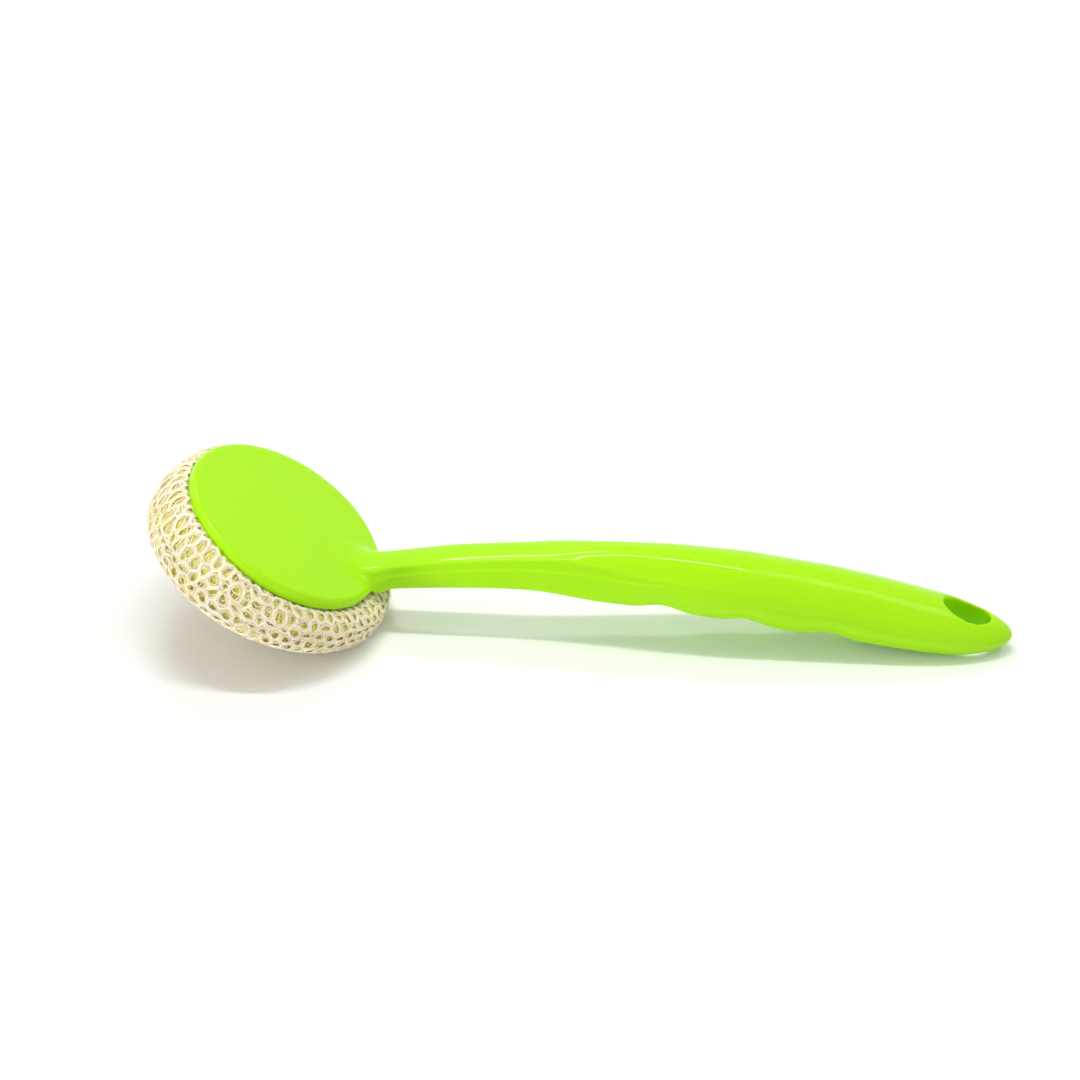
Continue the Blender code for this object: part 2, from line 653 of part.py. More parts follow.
def make_net(material):
    """Knitted tube drawn over the foam: six-sided gaps between strands of four sides. It is gathered
    to an eye round the boss and to a smaller one in the navel."""
    outline = pad_outline(NET_STRAND / 2, NET_TOP_DEPTH)
    fine = 2 * NET_ROWS * EDGE_STEPS
    levels = spaced_along(outline, fine, NAVEL_EYE_RADIUS, NET_EYE_RADIUS)
    bm = bmesh.new()
    rings = []
    for row in range(NET_ROWS + 1):
        ring = []
        for k in range(2 * NET_COLUMNS):
            zigzag = NET_ZIGZAG_SHARE if (k + row) % 2 else -NET_ZIGZAG_SHARE
            place = min(max((row + zigzag) / NET_ROWS, 0), 1) * fine
            step = min(int(place), fine - 1)
            point = [blend(p, q, place - step) for p, q in zip(levels[step], levels[step + 1])]
            angle = math.pi * k / NET_COLUMNS
            ring.append(bm.verts.new(pressed(on_pad(*point, angle), NET_STRAND / 2)))
        rings.append(ring)
    count = 2 * NET_COLUMNS
    for row, (lower, upper) in enumerate(zip(rings, rings[1:])):
        for k in range(count):
            if (k + row) % 2:
                low = [lower[(k + i) % count] for i in range(3)]
                high = [upper[(k + i) % count] for i in (2, 1, 0)]
                bm.faces.new(low + high)
    bm.normal_update()
    bmesh.ops.wireframe(bm, faces=bm.faces, thickness=NET_STRAND, offset=0,
                        use_replace=True, use_boundary=True, use_even_offset=False,
                        use_crease=False, crease_weight=0, use_relative_offset=False,
                        material_offset=0)
    return in_head(new_object("net_cover", bm, material))


def make_draw_cord(material):
    """Cord through the net's upper loops, tied round the boss."""
    bm = bmesh.new()
    torus(bm, BOSS_RADIUS + SEAT_GAP + CORD_DIAMETER / 2, CORD_DIAMETER / 2, -NET_TOP_DEPTH,
          ROUND_SEGMENTS, FINE_ROUND_SEGMENTS // 2)
    return in_head(new_object("draw_cord", bm, material))


def make_navel_tie(material):
    """Thread that closes the net's lower end in the navel."""
    outline = pad_outline(NET_STRAND / 2, NET_TOP_DEPTH)
    height = spaced_along(outline, 1, NAVEL_EYE_RADIUS, NET_EYE_RADIUS)[0][1]
    bm = bmesh.new()
    torus(bm, TIE_RING_DIAMETER / 2, TIE_DIAMETER / 2, 0, ROUND_SEGMENTS // 2,
          FINE_ROUND_SEGMENTS // 2)
    tie = new_object("navel_tie", bm, material)
    tie.location = on_pad(0, height, 1, 0)
    tie.rotation_euler.y = -PAD_LEAN
    return in_head(tie)


def make_head_frame():
    """An empty at the centre of the cap's flat top, tilted as the cap is."""
    frame = bpy.data.objects.new("head_frame", None)
    bpy.context.scene.collection.objects.link(frame)
    frame.location = HEAD.translation
    frame.rotation_euler.y = CAP_TILT
    return frame


clear_scene()
HEAD_FRAME = make_head_frame()
GREEN_PLASTIC = plastic("green_plastic", GREEN, 0.25)
WHITE_PLASTIC = plastic("white_plastic", WHITE, 0.4)
FOAM = plastic("yellow_foam", FOAM_YELLOW, 0.95)
NET_YARN = plastic("cream_net", NET_CREAM, 0.7)
make_handle(GREEN_PLASTIC)
make_plate(WHITE_PLASTIC)
make_foam(FOAM)
make_net(NET_YARN)
make_draw_cord(NET_YARN)
make_navel_tie(NET_YARN)
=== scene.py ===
"""Studio picture of a kitchen brush: a glossy one-piece handle and cap over a foam pad in a knitted
net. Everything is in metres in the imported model's frame: +Z up from the worktop, +X from the head to
the tail, and the origin under the middle of the brush."""

import json
import math

import bmesh
import bpy
import numpy as np
from mathutils import Matrix, Vector
from mathutils.bvhtree import BVHTree


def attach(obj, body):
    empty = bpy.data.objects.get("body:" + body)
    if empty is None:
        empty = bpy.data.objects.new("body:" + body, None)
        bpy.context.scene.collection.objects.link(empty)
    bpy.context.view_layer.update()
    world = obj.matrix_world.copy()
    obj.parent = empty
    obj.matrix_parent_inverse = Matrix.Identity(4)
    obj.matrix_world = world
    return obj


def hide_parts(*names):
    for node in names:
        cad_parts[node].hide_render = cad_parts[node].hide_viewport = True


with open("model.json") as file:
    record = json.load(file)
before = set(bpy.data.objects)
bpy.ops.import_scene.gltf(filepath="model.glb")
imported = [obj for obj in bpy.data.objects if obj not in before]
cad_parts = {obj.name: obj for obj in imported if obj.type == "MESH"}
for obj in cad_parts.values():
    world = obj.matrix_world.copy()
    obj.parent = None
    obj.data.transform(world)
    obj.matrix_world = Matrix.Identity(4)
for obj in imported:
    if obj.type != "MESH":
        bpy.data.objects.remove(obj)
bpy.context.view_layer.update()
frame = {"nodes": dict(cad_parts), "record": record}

MM = 0.001

# Cap: the same sizes as the solid's
CAP_RADIUS = 35 * MM
CAP_DEPTH = 4.4 * MM
CAP_WALL = 2.0 * MM
SKIRT_WALL = 1.8 * MM
CAP_EDGE_RADIUS = 1.7 * MM
SKIRT_LIP_RADIUS = 0.5 * MM
CAP_TILT = math.radians(34)
RIB_COUNT = 8
RIB_THICKNESS = 1.4 * MM
RIB_HEIGHT = 1.7 * MM
BOSS_RADIUS = 7.4 * MM
BOSS_END = 11.4 * MM
BORE_RADIUS = 4.7 * MM
LET_IN = 0.6 * MM  # how far a rib is let into what it joins
RIM_REACH = CAP_RADIUS * math.cos(CAP_TILT)  # level distance from the cap's centre to its rim
CAP_CENTRE = Vector(frame["record"]["mounts"][0]["pos_m"])
HEAD = Matrix.Translation(CAP_CENTRE) @ Matrix.Rotation(CAP_TILT, 4, "Y")

# Handle: the same sizes as the solid's, and places along it measured level from the cap's centre
HANDLE_REACH = 234.8 * MM
NECK_WIDTH = 13.4 * MM
GRIP_WIDTH = 25.6 * MM
GRIP_DEPTH = 19.4 * MM
ROOT_WIDTH = 23 * MM
ROOT_RISE = 5.7 * MM
ROOT_FILLET = 3.2 * MM
ROOT_INSET = 18 * MM
ROOT_SINK = 1.0 * MM
ROOT_FADE = 5.5 * MM
ARCH_HEIGHT = 13.9 * MM
TAIL_TOP_HEIGHT = 11.5 * MM
NOSE_PLAN_LENGTH = 42 * MM
NOSE_SIDE_LENGTH = 22 * MM
NOSE_EXPONENT = 2.4
WIDEN_START, WIDEN_END = 70 * MM, 150 * MM
SHOULDER_START, SHOULDER_END = 84 * MM, 121 * MM
SOFTENING_START, SOFTENING_END = 118 * MM, 160 * MM
GROOVE_COUNT = 3
GROOVE_PITCH = 27 * MM
GROOVE_LENGTH = 21 * MM
GROOVE_DEPTH = 1.9 * MM
FIRST_GROOVE = 121.5 * MM
HOLE_LENGTH = 15.6 * MM
HOLE_WIDTH = 11 * MM
HOLE_TO_TAIL = 15.2 * MM
HOLE_X = CAP_CENTRE.x + HANDLE_REACH - HOLE_TO_TAIL

# Side lines: (share of the handle's length, share of the arch's height or of the grip's depth)
ARCH_SHARES = ((0, 0), (0.12, 0.43), (0.25, 0.73), (0.38, 1.01), (0.5, 1.07),
               (0.62, 1), (0.75, 0.78), (0.88, 0.41), (1, 0))
DEPTH_SHARES = ((0, 0.46), (0.12, 0.61), (0.25, 0.73), (0.36, 1), (0.5, 1.11),
                (0.65, 1.16), (0.78, 1.08), (0.9, 0.91), (1, 0.62))

# Half sections from top to bottom: (share of half the width, share of the depth, softness share).
# They are the solid's, but for a flatter ledge along the neck's and the grip's side and a rounder
# crown on the grip, which catch a light line each.
ROOT_SHARES = ((0, 0, 0.5), (0.4, 0.02, 0.4), (0.56, 0.16, 0.4), (0.62, 0.4, 0.5),
               (0.68, 0.62, 0.5), (1, 1, 0.2), (0.5, 1, 0.3), (0, 1, 0.5))
NECK_SHARES = ((0, 0, 0.5), (0.46, 0.01, 0.4), (0.82, 0.06, 0.2), (0.87, 0.305, 0.25),
               (1, 0.33, 0.25), (0.78, 0.94, 0.35), (0.4, 1, 0.25), (0, 1, 0.5))
GRIP_SHARES = ((0, 0, 0.5), (0.46, 0.05, 0.4), (0.91, 0.34, 0.2), (0.93, 0.415, 0.25),
               (1, 0.43, 0.3), (0.74, 0.9, 0.45), (0.36, 1, 0.25), (0, 1, 0.5))
TAIL_SHARES = ((0, 0, 0.5), (0.48, 0.06, 0.5), (0.89, 0.32, 0.5), (0.945, 0.43, 0.5),
               (1, 0.54, 0.5), (0.74, 0.9, 0.45), (0.36, 1, 0.25), (0, 1, 0.5))

# Pad: the same sizes as the solids', with the seat of the hidden plate and its well
PAD_RADIUS = 42.7 * MM
PAD_EQUATOR_DEPTH = 16.6 * MM
PAD_BELLY_HEIGHT = 16.9 * MM
PAD_BELLY_EXPONENT = 1.6
PAD_SHOULDER_EXPONENT = 3.2
PAD_LEAN = math.radians(6)
PAD_SHIFT = 1.9 * MM
LEAN_FADE_EXPONENT = 3
FLAT_RADIUS = 28.7 * MM
NAVEL_RADIUS = 7.5 * MM
NAVEL_DEPTH = 4.2 * MM
PLATE_SEAT_RADIUS = 27.3 * MM
PLATE_SEAT_DEPTH = 9.0 * MM
WELL_SEAT_RADIUS = 9.7 * MM
WELL_SEAT_DEPTH = 13.7 * MM

# Rounding that a mould leaves, made here: along the root and on the hanging hole's rims
ROOT_ROUNDING_END = RIM_REACH + 9 * MM
ROOT_ROUNDED, ROOT_KEPT = 1.6 * MM, 5.5 * MM  # from the corner: full rounding within, none beyond
ROOT_ROUNDING_STEPS = 160
HOLE_ZONE_START = HANDLE_REACH - 1.8 * HOLE_TO_TAIL
HOLE_ROUNDED, HOLE_KEPT = 0.5 * MM, 1.7 * MM  # from the rims, likewise
HOLE_ROUNDING_STEPS = 22
HOLLOW_TOP = 1.7 * MM  # below the cap's top, where its hollow side begins
HOLLOW_RADIUS = CAP_RADIUS - SKIRT_WALL + MM / 5
SKIN_STEPS, SKIN_SHARE = 3, 0.4  # of the last light smoothing, all but the hollow side

# Softness of the pad, made here: how it swells up towards the cap's underside and round its skirt
SEAT_SWELL, SEAT_SWELL_START, SEAT_SWELL_END = 0.6 * MM, 4 * MM, 0.5 * MM  # both inside the cap's rim
RIM_SWELL, RIM_SWELL_REACH = 1.0 * MM, 0.3 * MM  # the reach is each way from the cap's rim
SWELL_FADE_START = 2 * MM  # outside the cap's rim
SWELL_FADE_END = 1.5 * MM  # inside the pad's own edge
FOAM_INSET = 1.25 * MM
FOAM_TOP_DEPTH = 5.9 * MM
FOAM_LOWEST = 1.4 * MM  # above the worktop, where the pad is pressed flat
FOAM_TIP_RADIUS = 0.3 * MM
FOAM_DENTS = ((5, 9, 0.15), (6, 40, 0.13))  # broad and fine: (seed, cycles, size in millimetres)
FOAM_DENT_FADE = 0.93  # the level from which the dents fade out
FOAM_SHARP_ANGLE = math.radians(50)

# Net, made here: six-sided gaps in rows from the lower eye to the upper one
NET_COLUMNS = 62
NET_ROWS = 25
NET_TOP_DEPTH = 5.0 * MM
NET_EYE_RADIUS = 10.8 * MM
NET_NAVEL_RADIUS = 5.2 * MM
ZIGZAG_SHARE = 0.17  # of a row's height, up or down at each knot
FULL_PITCH = 2.2 * MM  # half a gap's width where the pad is widest
SIDE_CROWDING = (0.3, 1.1)  # least and most share of full size where the rows draw together
LOOP_CROWDING = (0.25, 1.1)
STRAIN_CYCLES = (7, 33)  # broad and fine slips of the knitting
SLIP_SHARES = (0.15, 0.15)  # of a column step
RISE_SHARES = (0.10, 0.12)  # of a row's height
SIDE_LIFT, SIDE_THICKNESS_SHARE = 0.1 * MM, 0.12  # random, both ways
LOOP_LIFT, LOOP_THICKNESS_SHARE = 0.08 * MM, 0.15  # random, both ways
LOOP_SQUEEZES = (0.8, 1.1)  # least and most random share of a loop's width and height
LOOP_LEAN = 0.22  # random, both ways
HEXAGON_SHARE = 0.045  # how far a loop is drawn out at its six corners
LOBE_SHARES = ((2, 0.07), (3, 0.05))  # random bends of a loop: (lobes, share of its size)
LEVEL_LIMIT = 0.002  # how near a loop may come to either end of the net, as a share
NET_SEED, INNER_NET_SEED = 21, 57
LOOP_SEED_STEP = 50

# Fineness of what is made here
HANDLE_STATIONS = 330
NOSE_STATIONS = 60
CORNER_STEPS = 7
HOLE_SEGMENTS = 96
HOLE_CUT_HEIGHTS = (-5 * MM, 30 * MM)
CAP_SEGMENTS = 360
CAP_RINGS, CAP_FIRST_RING = 24, 3 * MM
CAP_EDGE_STEPS = 14
SKIRT_LIP_STEPS = 5
VOXEL = 0.42 * MM
OUTLINE_SAMPLES = 160
SURFACE_ROWS, SURFACE_COLUMNS = 160, 256
FOAM_ROWS, FOAM_COLUMNS = 150, 300
WAVE_COUNT = 14
LEVEL_SPAN = 3  # radians that stand for the way from the first level to the last
TURN = 6.28  # near enough a full turn, for a random start

# Camera: 85 mm lens, as far off and as high as the photograph's perspective says
LENS, SENSOR_WIDTH = 85, 36
CLIP_START, CLIP_END = 0.01, 20
CAMERA_AZIMUTH = math.radians(4.76)
CAMERA_ELEVATION = math.radians(33.06)
CAMERA_ROLL = math.radians(-0.22)
CAMERA_DISTANCE = 0.8212
CAMERA_TARGET = Vector((-0.01318, 0, 0.03426))

# Light: strength of the world for light, and softboxes as (place, target, width, depth, watts)
HORIZON_STRENGTH, ZENITH_STRENGTH = 0.30, 0.58
SOFTBOXES = {
    "overhead": ((-0.02, 0.006, 0.85), (-0.01, 0, 0.01), 0.46, 0.05, 2.65),
    "right": ((0.45, 0.0, 0.80), (-0.02, 0, 0.02), 0.4, 0.3, 1.0),
    "behind": ((-0.20, 0.45, 0.77), (-0.06, 0, 0.03), 0.26, 0.08, 1.3),
    "front": ((-0.08, -0.72, 0.56), (0, 0, 0.03), 0.26, 0.024, 0.2),
    "gridded_fill": ((-0.72, -0.52, 0.09), (-0.125, -0.02, 0.02), 0.30, 0.25, 0.12),
}
FILL_SPREAD = math.radians(24)

# Floor: what shows of it glows a little near the brush, and runs out to white between these
# distances from the brush's middle
FLOOR_HALF_SIZE = 3.0
FLOOR_DROP = 0.02 * MM
WHITE_START, WHITE_END = 0.2, 0.42
NEAR_GLOW = 0.05


def smoothstep(low, high, value):
    t = min(max((value - low) / (high - low), 0), 1)
    return t * t * (3 - 2 * t)


def smoothsteps(low, high, values):
    t = np.clip((values - low) / (high - low), 0, 1)
    return t * t * (3 - 2 * t)


def blend(a, b, share):
    return a + (b - a) * share


def smooth_line(points, position):
    """A value read from a smooth curve through (position, value) points."""
    last = len(points) - 1
    i = next((k for k in range(last) if position <= points[k + 1][0]), last - 1)
    (x1, y1), (x2, y2) = points[i], points[i + 1]
    x0, y0 = points[i - 1] if i > 0 else (2 * x1 - x2, 2 * y1 - y2)
    x3, y3 = points[i + 2] if i + 2 <= last else (2 * x2 - x1, 2 * y2 - y1)
    span = x2 - x1
    slope1 = (y2 - y0) / (x2 - x0) * span
    slope2 = (y3 - y1) / (x3 - x1) * span
    t = (position - x1) / span
    return ((2 * t**3 - 3 * t**2 + 1) * y1 + (t**3 - 2 * t**2 + t) * slope1
            + (3 * t**2 - 2 * t**3) * y2 + (t**3 - t**2) * slope2)


# Mesh helpers

def link(name, data):
    obj = bpy.data.objects.new(name, data)
    bpy.context.scene.collection.objects.link(obj)
    return obj


def mesh_object(name, verts, faces, smooth=True):
    mesh = bpy.data.meshes.new(name)
    mesh.from_pydata([tuple(v) for v in verts], [], [tuple(f) for f in faces])
    mesh.validate()
    if smooth:
        mesh.shade_smooth()
    return link(name, mesh)


def ring_faces(ring_count, ring_size):
    faces = []
    for i in range(ring_count - 1):
        for j in range(ring_size):
            k = (j + 1) % ring_size
            a = i * ring_size
            faces.append((a + j, a + k, a + ring_size + k, a + ring_size + j))
    return faces


def closed_tube(rings):
    """Vertices and faces of a tube through equal rings of points, closed at both ends."""
    size = len(rings[0])
    verts = [p for ring in rings for p in ring]
    faces = ring_faces(len(rings), size)
    first, last = len(verts), len(verts) + 1
    verts.append(sum((Vector(p) for p in rings[0]), Vector()) / size)
    verts.append(sum((Vector(p) for p in rings[-1]), Vector()) / size)
    base = (len(rings) - 1) * size
    for j in range(size):
        k = (j + 1) % size
        faces.append((k, j, first))
        faces.append((base + j, base + k, last))
    return verts, faces


def oval(centre_x, half_length, half_width, height, segments):
    return [Vector((centre_x + half_length * math.cos(a), half_width * math.sin(a), height))
            for a in np.linspace(0, 2 * math.pi, segments, endpoint=False)]


def circle(radius, height, segments):
    return oval(0, radius, radius, height, segments)


def turned(profile, segments):
    """Vertices and faces of a solid of revolution about Z, from (radius, height) points."""
    return closed_tube([circle(radius, height, segments) for radius, height in profile[1:-1]])


def arc(centre_radius, centre_height, radius, start, end, steps):
    return [(centre_radius + radius * math.cos(a), centre_height + radius * math.sin(a))
            for a in np.linspace(start, end, steps + 1)]


def evaluated_arrays(obj):
    graph = bpy.context.evaluated_depsgraph_get()
    graph.update()
    mesh = obj.evaluated_get(graph).to_mesh()
    return [v.co.copy() for v in mesh.vertices], [tuple(p.vertices) for p in mesh.polygons]


def mesh_arrays(mesh):
    co = np.empty(len(mesh.vertices) * 3)
    mesh.vertices.foreach_get("co", co)
    edges = np.empty(len(mesh.edges) * 2, dtype=np.int64)
    mesh.edges.foreach_get("vertices", edges)
    return co.reshape(-1, 3), edges.reshape(-1, 2)


def relax(co, edges, weight, steps, amount=0.5):
    """Moves each vertex towards the mean of its neighbours, as far as its weight says."""
    count = len(co)
    live = weight[edges].max(axis=1) > 0
    a, b = edges[live].T
    degree = np.maximum(np.bincount(a, minlength=count) + np.bincount(b, minlength=count), 1)
    weight = (weight * amount)[:, None]
    for _ in range(steps):
        sums = [np.bincount(a, co[b, i], count) + np.bincount(b, co[a, i], count) for i in range(3)]
        mean = np.stack(sums, axis=1) / degree[:, None]
        co = co + (mean - co) * weight
    return co


def nearest(tree, points):
    """Nearest surface point of a tree, and its distance, for each of many points."""
    found = [tree.find_nearest(Vector(p)) for p in points]
    return np.array([f[0] for f in found]), np.array([f[3] for f in found])


# Handle: side lines and sections along its reach, then one loft through them

def handle_share(reach):
    return (reach - RIM_REACH) / (HANDLE_REACH - RIM_REACH)


def past_root(reach):
    return smoothstep(RIM_REACH - ROOT_FADE, RIM_REACH + ROOT_FADE, reach)


def cap_top_line(reach):
    return CAP_CENTRE.z - reach * math.tan(CAP_TILT)


def groove_lift(reach):
    lift = 0
    for i in range(GROOVE_COUNT):
        offset = reach - FIRST_GROOVE - i * GROOVE_PITCH
        if abs(offset) < GROOVE_LENGTH / 2:
            lift += GROOVE_DEPTH * math.cos(math.pi * offset / GROOVE_LENGTH) ** 2
    return lift


def free_lines(reach):
    share = handle_share(reach)
    chord = blend(cap_top_line(RIM_REACH) + ROOT_RISE, TAIL_TOP_HEIGHT, share)
    within = min(max(share, 0), 1)
    top = chord + ARCH_HEIGHT * smooth_line(ARCH_SHARES, within)
    if share < 0:
        top += ARCH_HEIGHT * share * ARCH_SHARES[1][1] / ARCH_SHARES[1][0]
    bottom = top - GRIP_DEPTH * smooth_line(DEPTH_SHARES, within) + groove_lift(reach)
    return top, bottom


def nose(reach, length):
    t = min(max((reach - HANDLE_REACH + length) / length, 0), 1)
    return (1 - t**NOSE_EXPONENT) ** 0.5


def side_lines(reach):
    """Top and bottom line with the nose closed and the root let into the cap."""
    free_top, free_bottom = free_lines(reach)
    middle = (free_top + free_bottom) / 2
    keep = nose(reach, NOSE_SIDE_LENGTH)
    top = blend(middle, free_top, keep)
    bottom = blend(middle, free_bottom, keep)
    plane = cap_top_line(reach)
    start = RIM_REACH - ROOT_INSET
    begun = smoothstep(start, start + ROOT_INSET / 3, reach)
    eased = (top + plane + math.hypot(top - plane, ROOT_FILLET * begun)) / 2
    eased -= ROOT_SINK / 2 * (1 - begun)
    let_in = 1 - smoothstep(RIM_REACH - ROOT_SINK * 3, RIM_REACH + ROOT_SINK, reach)
    return eased, blend(bottom, plane - ROOT_SINK, let_in)


def half_width(reach):
    width = blend(NECK_WIDTH, GRIP_WIDTH, smoothstep(WIDEN_START, WIDEN_END, reach))
    return blend(width, ROOT_WIDTH, 1 - past_root(reach)) / 2 * nose(reach, NOSE_PLAN_LENGTH)


def section_shares(reach):
    grip = smoothstep(SHOULDER_START, SHOULDER_END, reach)
    tail = smoothstep(SOFTENING_START, SOFTENING_END, reach)
    corners = []
    for forms in zip(ROOT_SHARES, NECK_SHARES, GRIP_SHARES, TAIL_SHARES):
        corner = forms[0]
        for form, share in zip(forms[1:], (past_root(reach), grip, tail)):
            corner = [blend(a, b, share) for a, b in zip(corner, form)]
        corners.append(corner)
    return corners


def softened(before, here, after, soft):
    """Points of a curve that cuts the corner at here, each way as far as its softness share says."""
    start = [blend(at, back, soft) for at, back in zip(here, before)]
    end = [blend(at, on, soft) for at, on in zip(here, after)]
    points = []
    for k in range(CORNER_STEPS + 1):
        t = k / CORNER_STEPS
        points.append(tuple(blend(blend(a, b, t), blend(b, c, t), t)
                            for a, b, c in zip(start, here, end)))
    return points


def section(reach):
    top, bottom = side_lines(reach)
    width = half_width(reach)
    half = [(w * width, top - d * (top - bottom), s) for w, d, s in section_shares(reach)]
    corners = half + [(-y, z, s) for y, z, s in half[-2:0:-1]]
    outline = []
    for i, (y, z, soft) in enumerate(corners):
        if y == 0:
            outline.append((y, z))
        else:
            after = corners[(i + 1) % len(corners)]
            outline += softened(corners[i - 1][:2], (y, z), after[:2], soft)
    return outline


def lowest_beside_hole(reach):
    offset = (reach - HANDLE_REACH + HOLE_TO_TAIL) / (HOLE_LENGTH / 2)
    half = HOLE_WIDTH / 2 * math.sqrt(max(1 - offset**2, 0))
    ring = section(reach)
    heights = [z for y, z in ring if abs(y) >= half]
    for (y1, z1), (y2, z2) in zip(ring, ring[1:] + ring[:1]):
        heights += [blend(z1, z2, (edge - y1) / (y2 - y1)) for edge in (-half, half)
                    if (y1 - edge) * (y2 - edge) < 0]
    return min(heights)


def handle_loft():
    """Loft from the root to the tail, let down so that the tail's lowest point meets the worktop."""
    tail = [HANDLE_REACH - NOSE_PLAN_LENGTH * k / NOSE_STATIONS for k in range(NOSE_STATIONS)]
    drop = min(lowest_beside_hole(reach) / handle_share(reach) for reach in tail)
    body_end = HANDLE_REACH - NOSE_SIDE_LENGTH
    reaches = list(np.linspace(RIM_REACH - ROOT_INSET, body_end, HANDLE_STATIONS, endpoint=False))
    reaches += [blend(body_end, HANDLE_REACH, math.sin(math.pi / 2 * k / NOSE_STATIONS))
                for k in range(NOSE_STATIONS)]
    rings = []
    for reach in reaches:
        let_down = drop * max(handle_share(reach), 0)
        rings.append([Vector((CAP_CENTRE.x + reach, y, z - let_down)) for y, z in section(reach)])
    return closed_tube(rings)


def hole_offset(x, y):
    """How far a place lies from the hanging hole's wall, roughly, seen from above."""
    scaled = np.hypot((x - HOLE_X) / (HOLE_LENGTH / 2), y / (HOLE_WIDTH / 2))
    return np.abs(scaled - 1) * (HOLE_LENGTH + HOLE_WIDTH) / 4


def with_hanging_hole(verts, faces):
    rings = [oval(HOLE_X, HOLE_LENGTH / 2, HOLE_WIDTH / 2, height, HOLE_SEGMENTS)
             for height in HOLE_CUT_HEIGHTS]
    loft = mesh_object("loft", verts, faces)
    cutter = mesh_object("hole_cutter", *closed_tube(rings))
    cut = loft.modifiers.new("hole", "BOOLEAN")
    cut.operation, cut.solver, cut.object = "DIFFERENCE", "EXACT", cutter
    arrays = evaluated_arrays(loft)
    for helper in (loft, cutter):
        bpy.data.objects.remove(helper)
    return arrays


def cap_shell():
    """Cap with its skirt, boss and bore as one turned shell."""
    edge, lip = CAP_EDGE_RADIUS, SKIRT_LIP_RADIUS
    inner = CAP_RADIUS - SKIRT_WALL
    profile = [(0, 0)]
    profile += [(r, 0) for r in np.linspace(CAP_FIRST_RING, CAP_RADIUS - edge, CAP_RINGS)[:-1]]
    profile += arc(CAP_RADIUS - edge, -edge, edge, math.pi / 2, 0, CAP_EDGE_STEPS)
    profile += arc(CAP_RADIUS - lip, lip - CAP_DEPTH, lip, 0, -math.pi / 2, SKIRT_LIP_STEPS)
    profile += [(inner, -CAP_DEPTH), (inner, -CAP_WALL), (BOSS_RADIUS, -CAP_WALL),
                (BOSS_RADIUS, -BOSS_END), (BORE_RADIUS, -BOSS_END), (BORE_RADIUS, -CAP_WALL),
                (0, -CAP_WALL)]
    verts, faces = turned(profile, CAP_SEGMENTS)
    return [HEAD @ v for v in verts], faces


def rib_box(index):
    turn = Matrix.Rotation(2 * math.pi * (index + 0.5) / RIB_COUNT, 4, "Z")
    half = RIB_THICKNESS / 2
    corners = [(x, y, z) for x in (BOSS_RADIUS - LET_IN, CAP_RADIUS - SKIRT_WALL + LET_IN)
               for y in (-half, half) for z in (-CAP_WALL - RIB_HEIGHT, LET_IN - CAP_WALL)]
    faces = [(0, 1, 3, 2), (4, 6, 7, 5), (0, 4, 5, 1), (2, 3, 7, 6), (0, 2, 6, 4), (1, 5, 7, 3)]
    return [HEAD @ turn @ Vector(c) for c in corners], faces


def melted(name, shells):
    """One skin over several closed shells: remeshed in voxels, then drawn back onto the shells."""
    verts, faces = [], []
    for more_verts, more_faces in shells:
        faces += [tuple(len(verts) + i for i in f) for f in more_faces]
        verts += more_verts
    obj = mesh_object(name, verts, faces)
    remesh = obj.modifiers.new("skin", "REMESH")
    remesh.mode, remesh.voxel_size = "VOXEL", VOXEL
    graph = bpy.context.evaluated_depsgraph_get()
    graph.update()
    mesh = bpy.data.meshes.new_from_object(obj.evaluated_get(graph))
    obj.modifiers.clear()
    obj.data = mesh
    co, edges = mesh_arrays(mesh)
    return obj, nearest(BVHTree.FromPolygons(verts, faces), co)[0], edges


def in_hollow(co):
    """True for the vertices on the cap's hollow side, which stay as moulded."""
    inside = HEAD.inverted()
    local = co @ np.array(inside.to_3x3()).T + np.array(inside.translation)
    return (local[:, 2] < -HOLLOW_TOP) & (np.hypot(local[:, 0], local[:, 1]) < HOLLOW_RADIUS)


def round_root(mesh, co, edges, trees, hollow):
    """Fills the corner between neck and cap: only what the relaxing moves outwards is kept."""
    x = co[:, 0] - CAP_CENTRE.x
    ids = np.flatnonzero((x > RIM_REACH - ROOT_INSET) & (x < ROOT_ROUNDING_END))
    gap = np.maximum(*(nearest(tree, co[ids])[1] for tree in trees))
    weight = np.zeros(len(co))
    weight[ids] = 1 - smoothsteps(ROOT_ROUNDED, ROOT_KEPT, gap)
    weight[hollow] = 0
    mesh.vertices.foreach_set("co", co.ravel())
    mesh.update()
    normals = np.empty(co.size)
    mesh.vertices.foreach_get("normal", normals)
    filled = relax(co, edges, weight, ROOT_ROUNDING_STEPS)
    outwards = ((filled - co) * normals.reshape(-1, 3)).sum(axis=1) > 0
    return np.where(outwards[:, None], filled, co)


def round_hole(co, edges, loft_tree):
    """Rounds the rims where the hanging hole cuts the handle's skin."""
    ids = np.flatnonzero(co[:, 0] - CAP_CENTRE.x > HOLE_ZONE_START)
    rim = np.maximum(hole_offset(co[ids, 0], co[ids, 1]), nearest(loft_tree, co[ids])[1])
    weight = np.zeros(len(co))
    weight[ids] = 1 - smoothsteps(HOLE_ROUNDED, HOLE_KEPT, rim)
    return relax(co, edges, weight, HOLE_ROUNDING_STEPS)


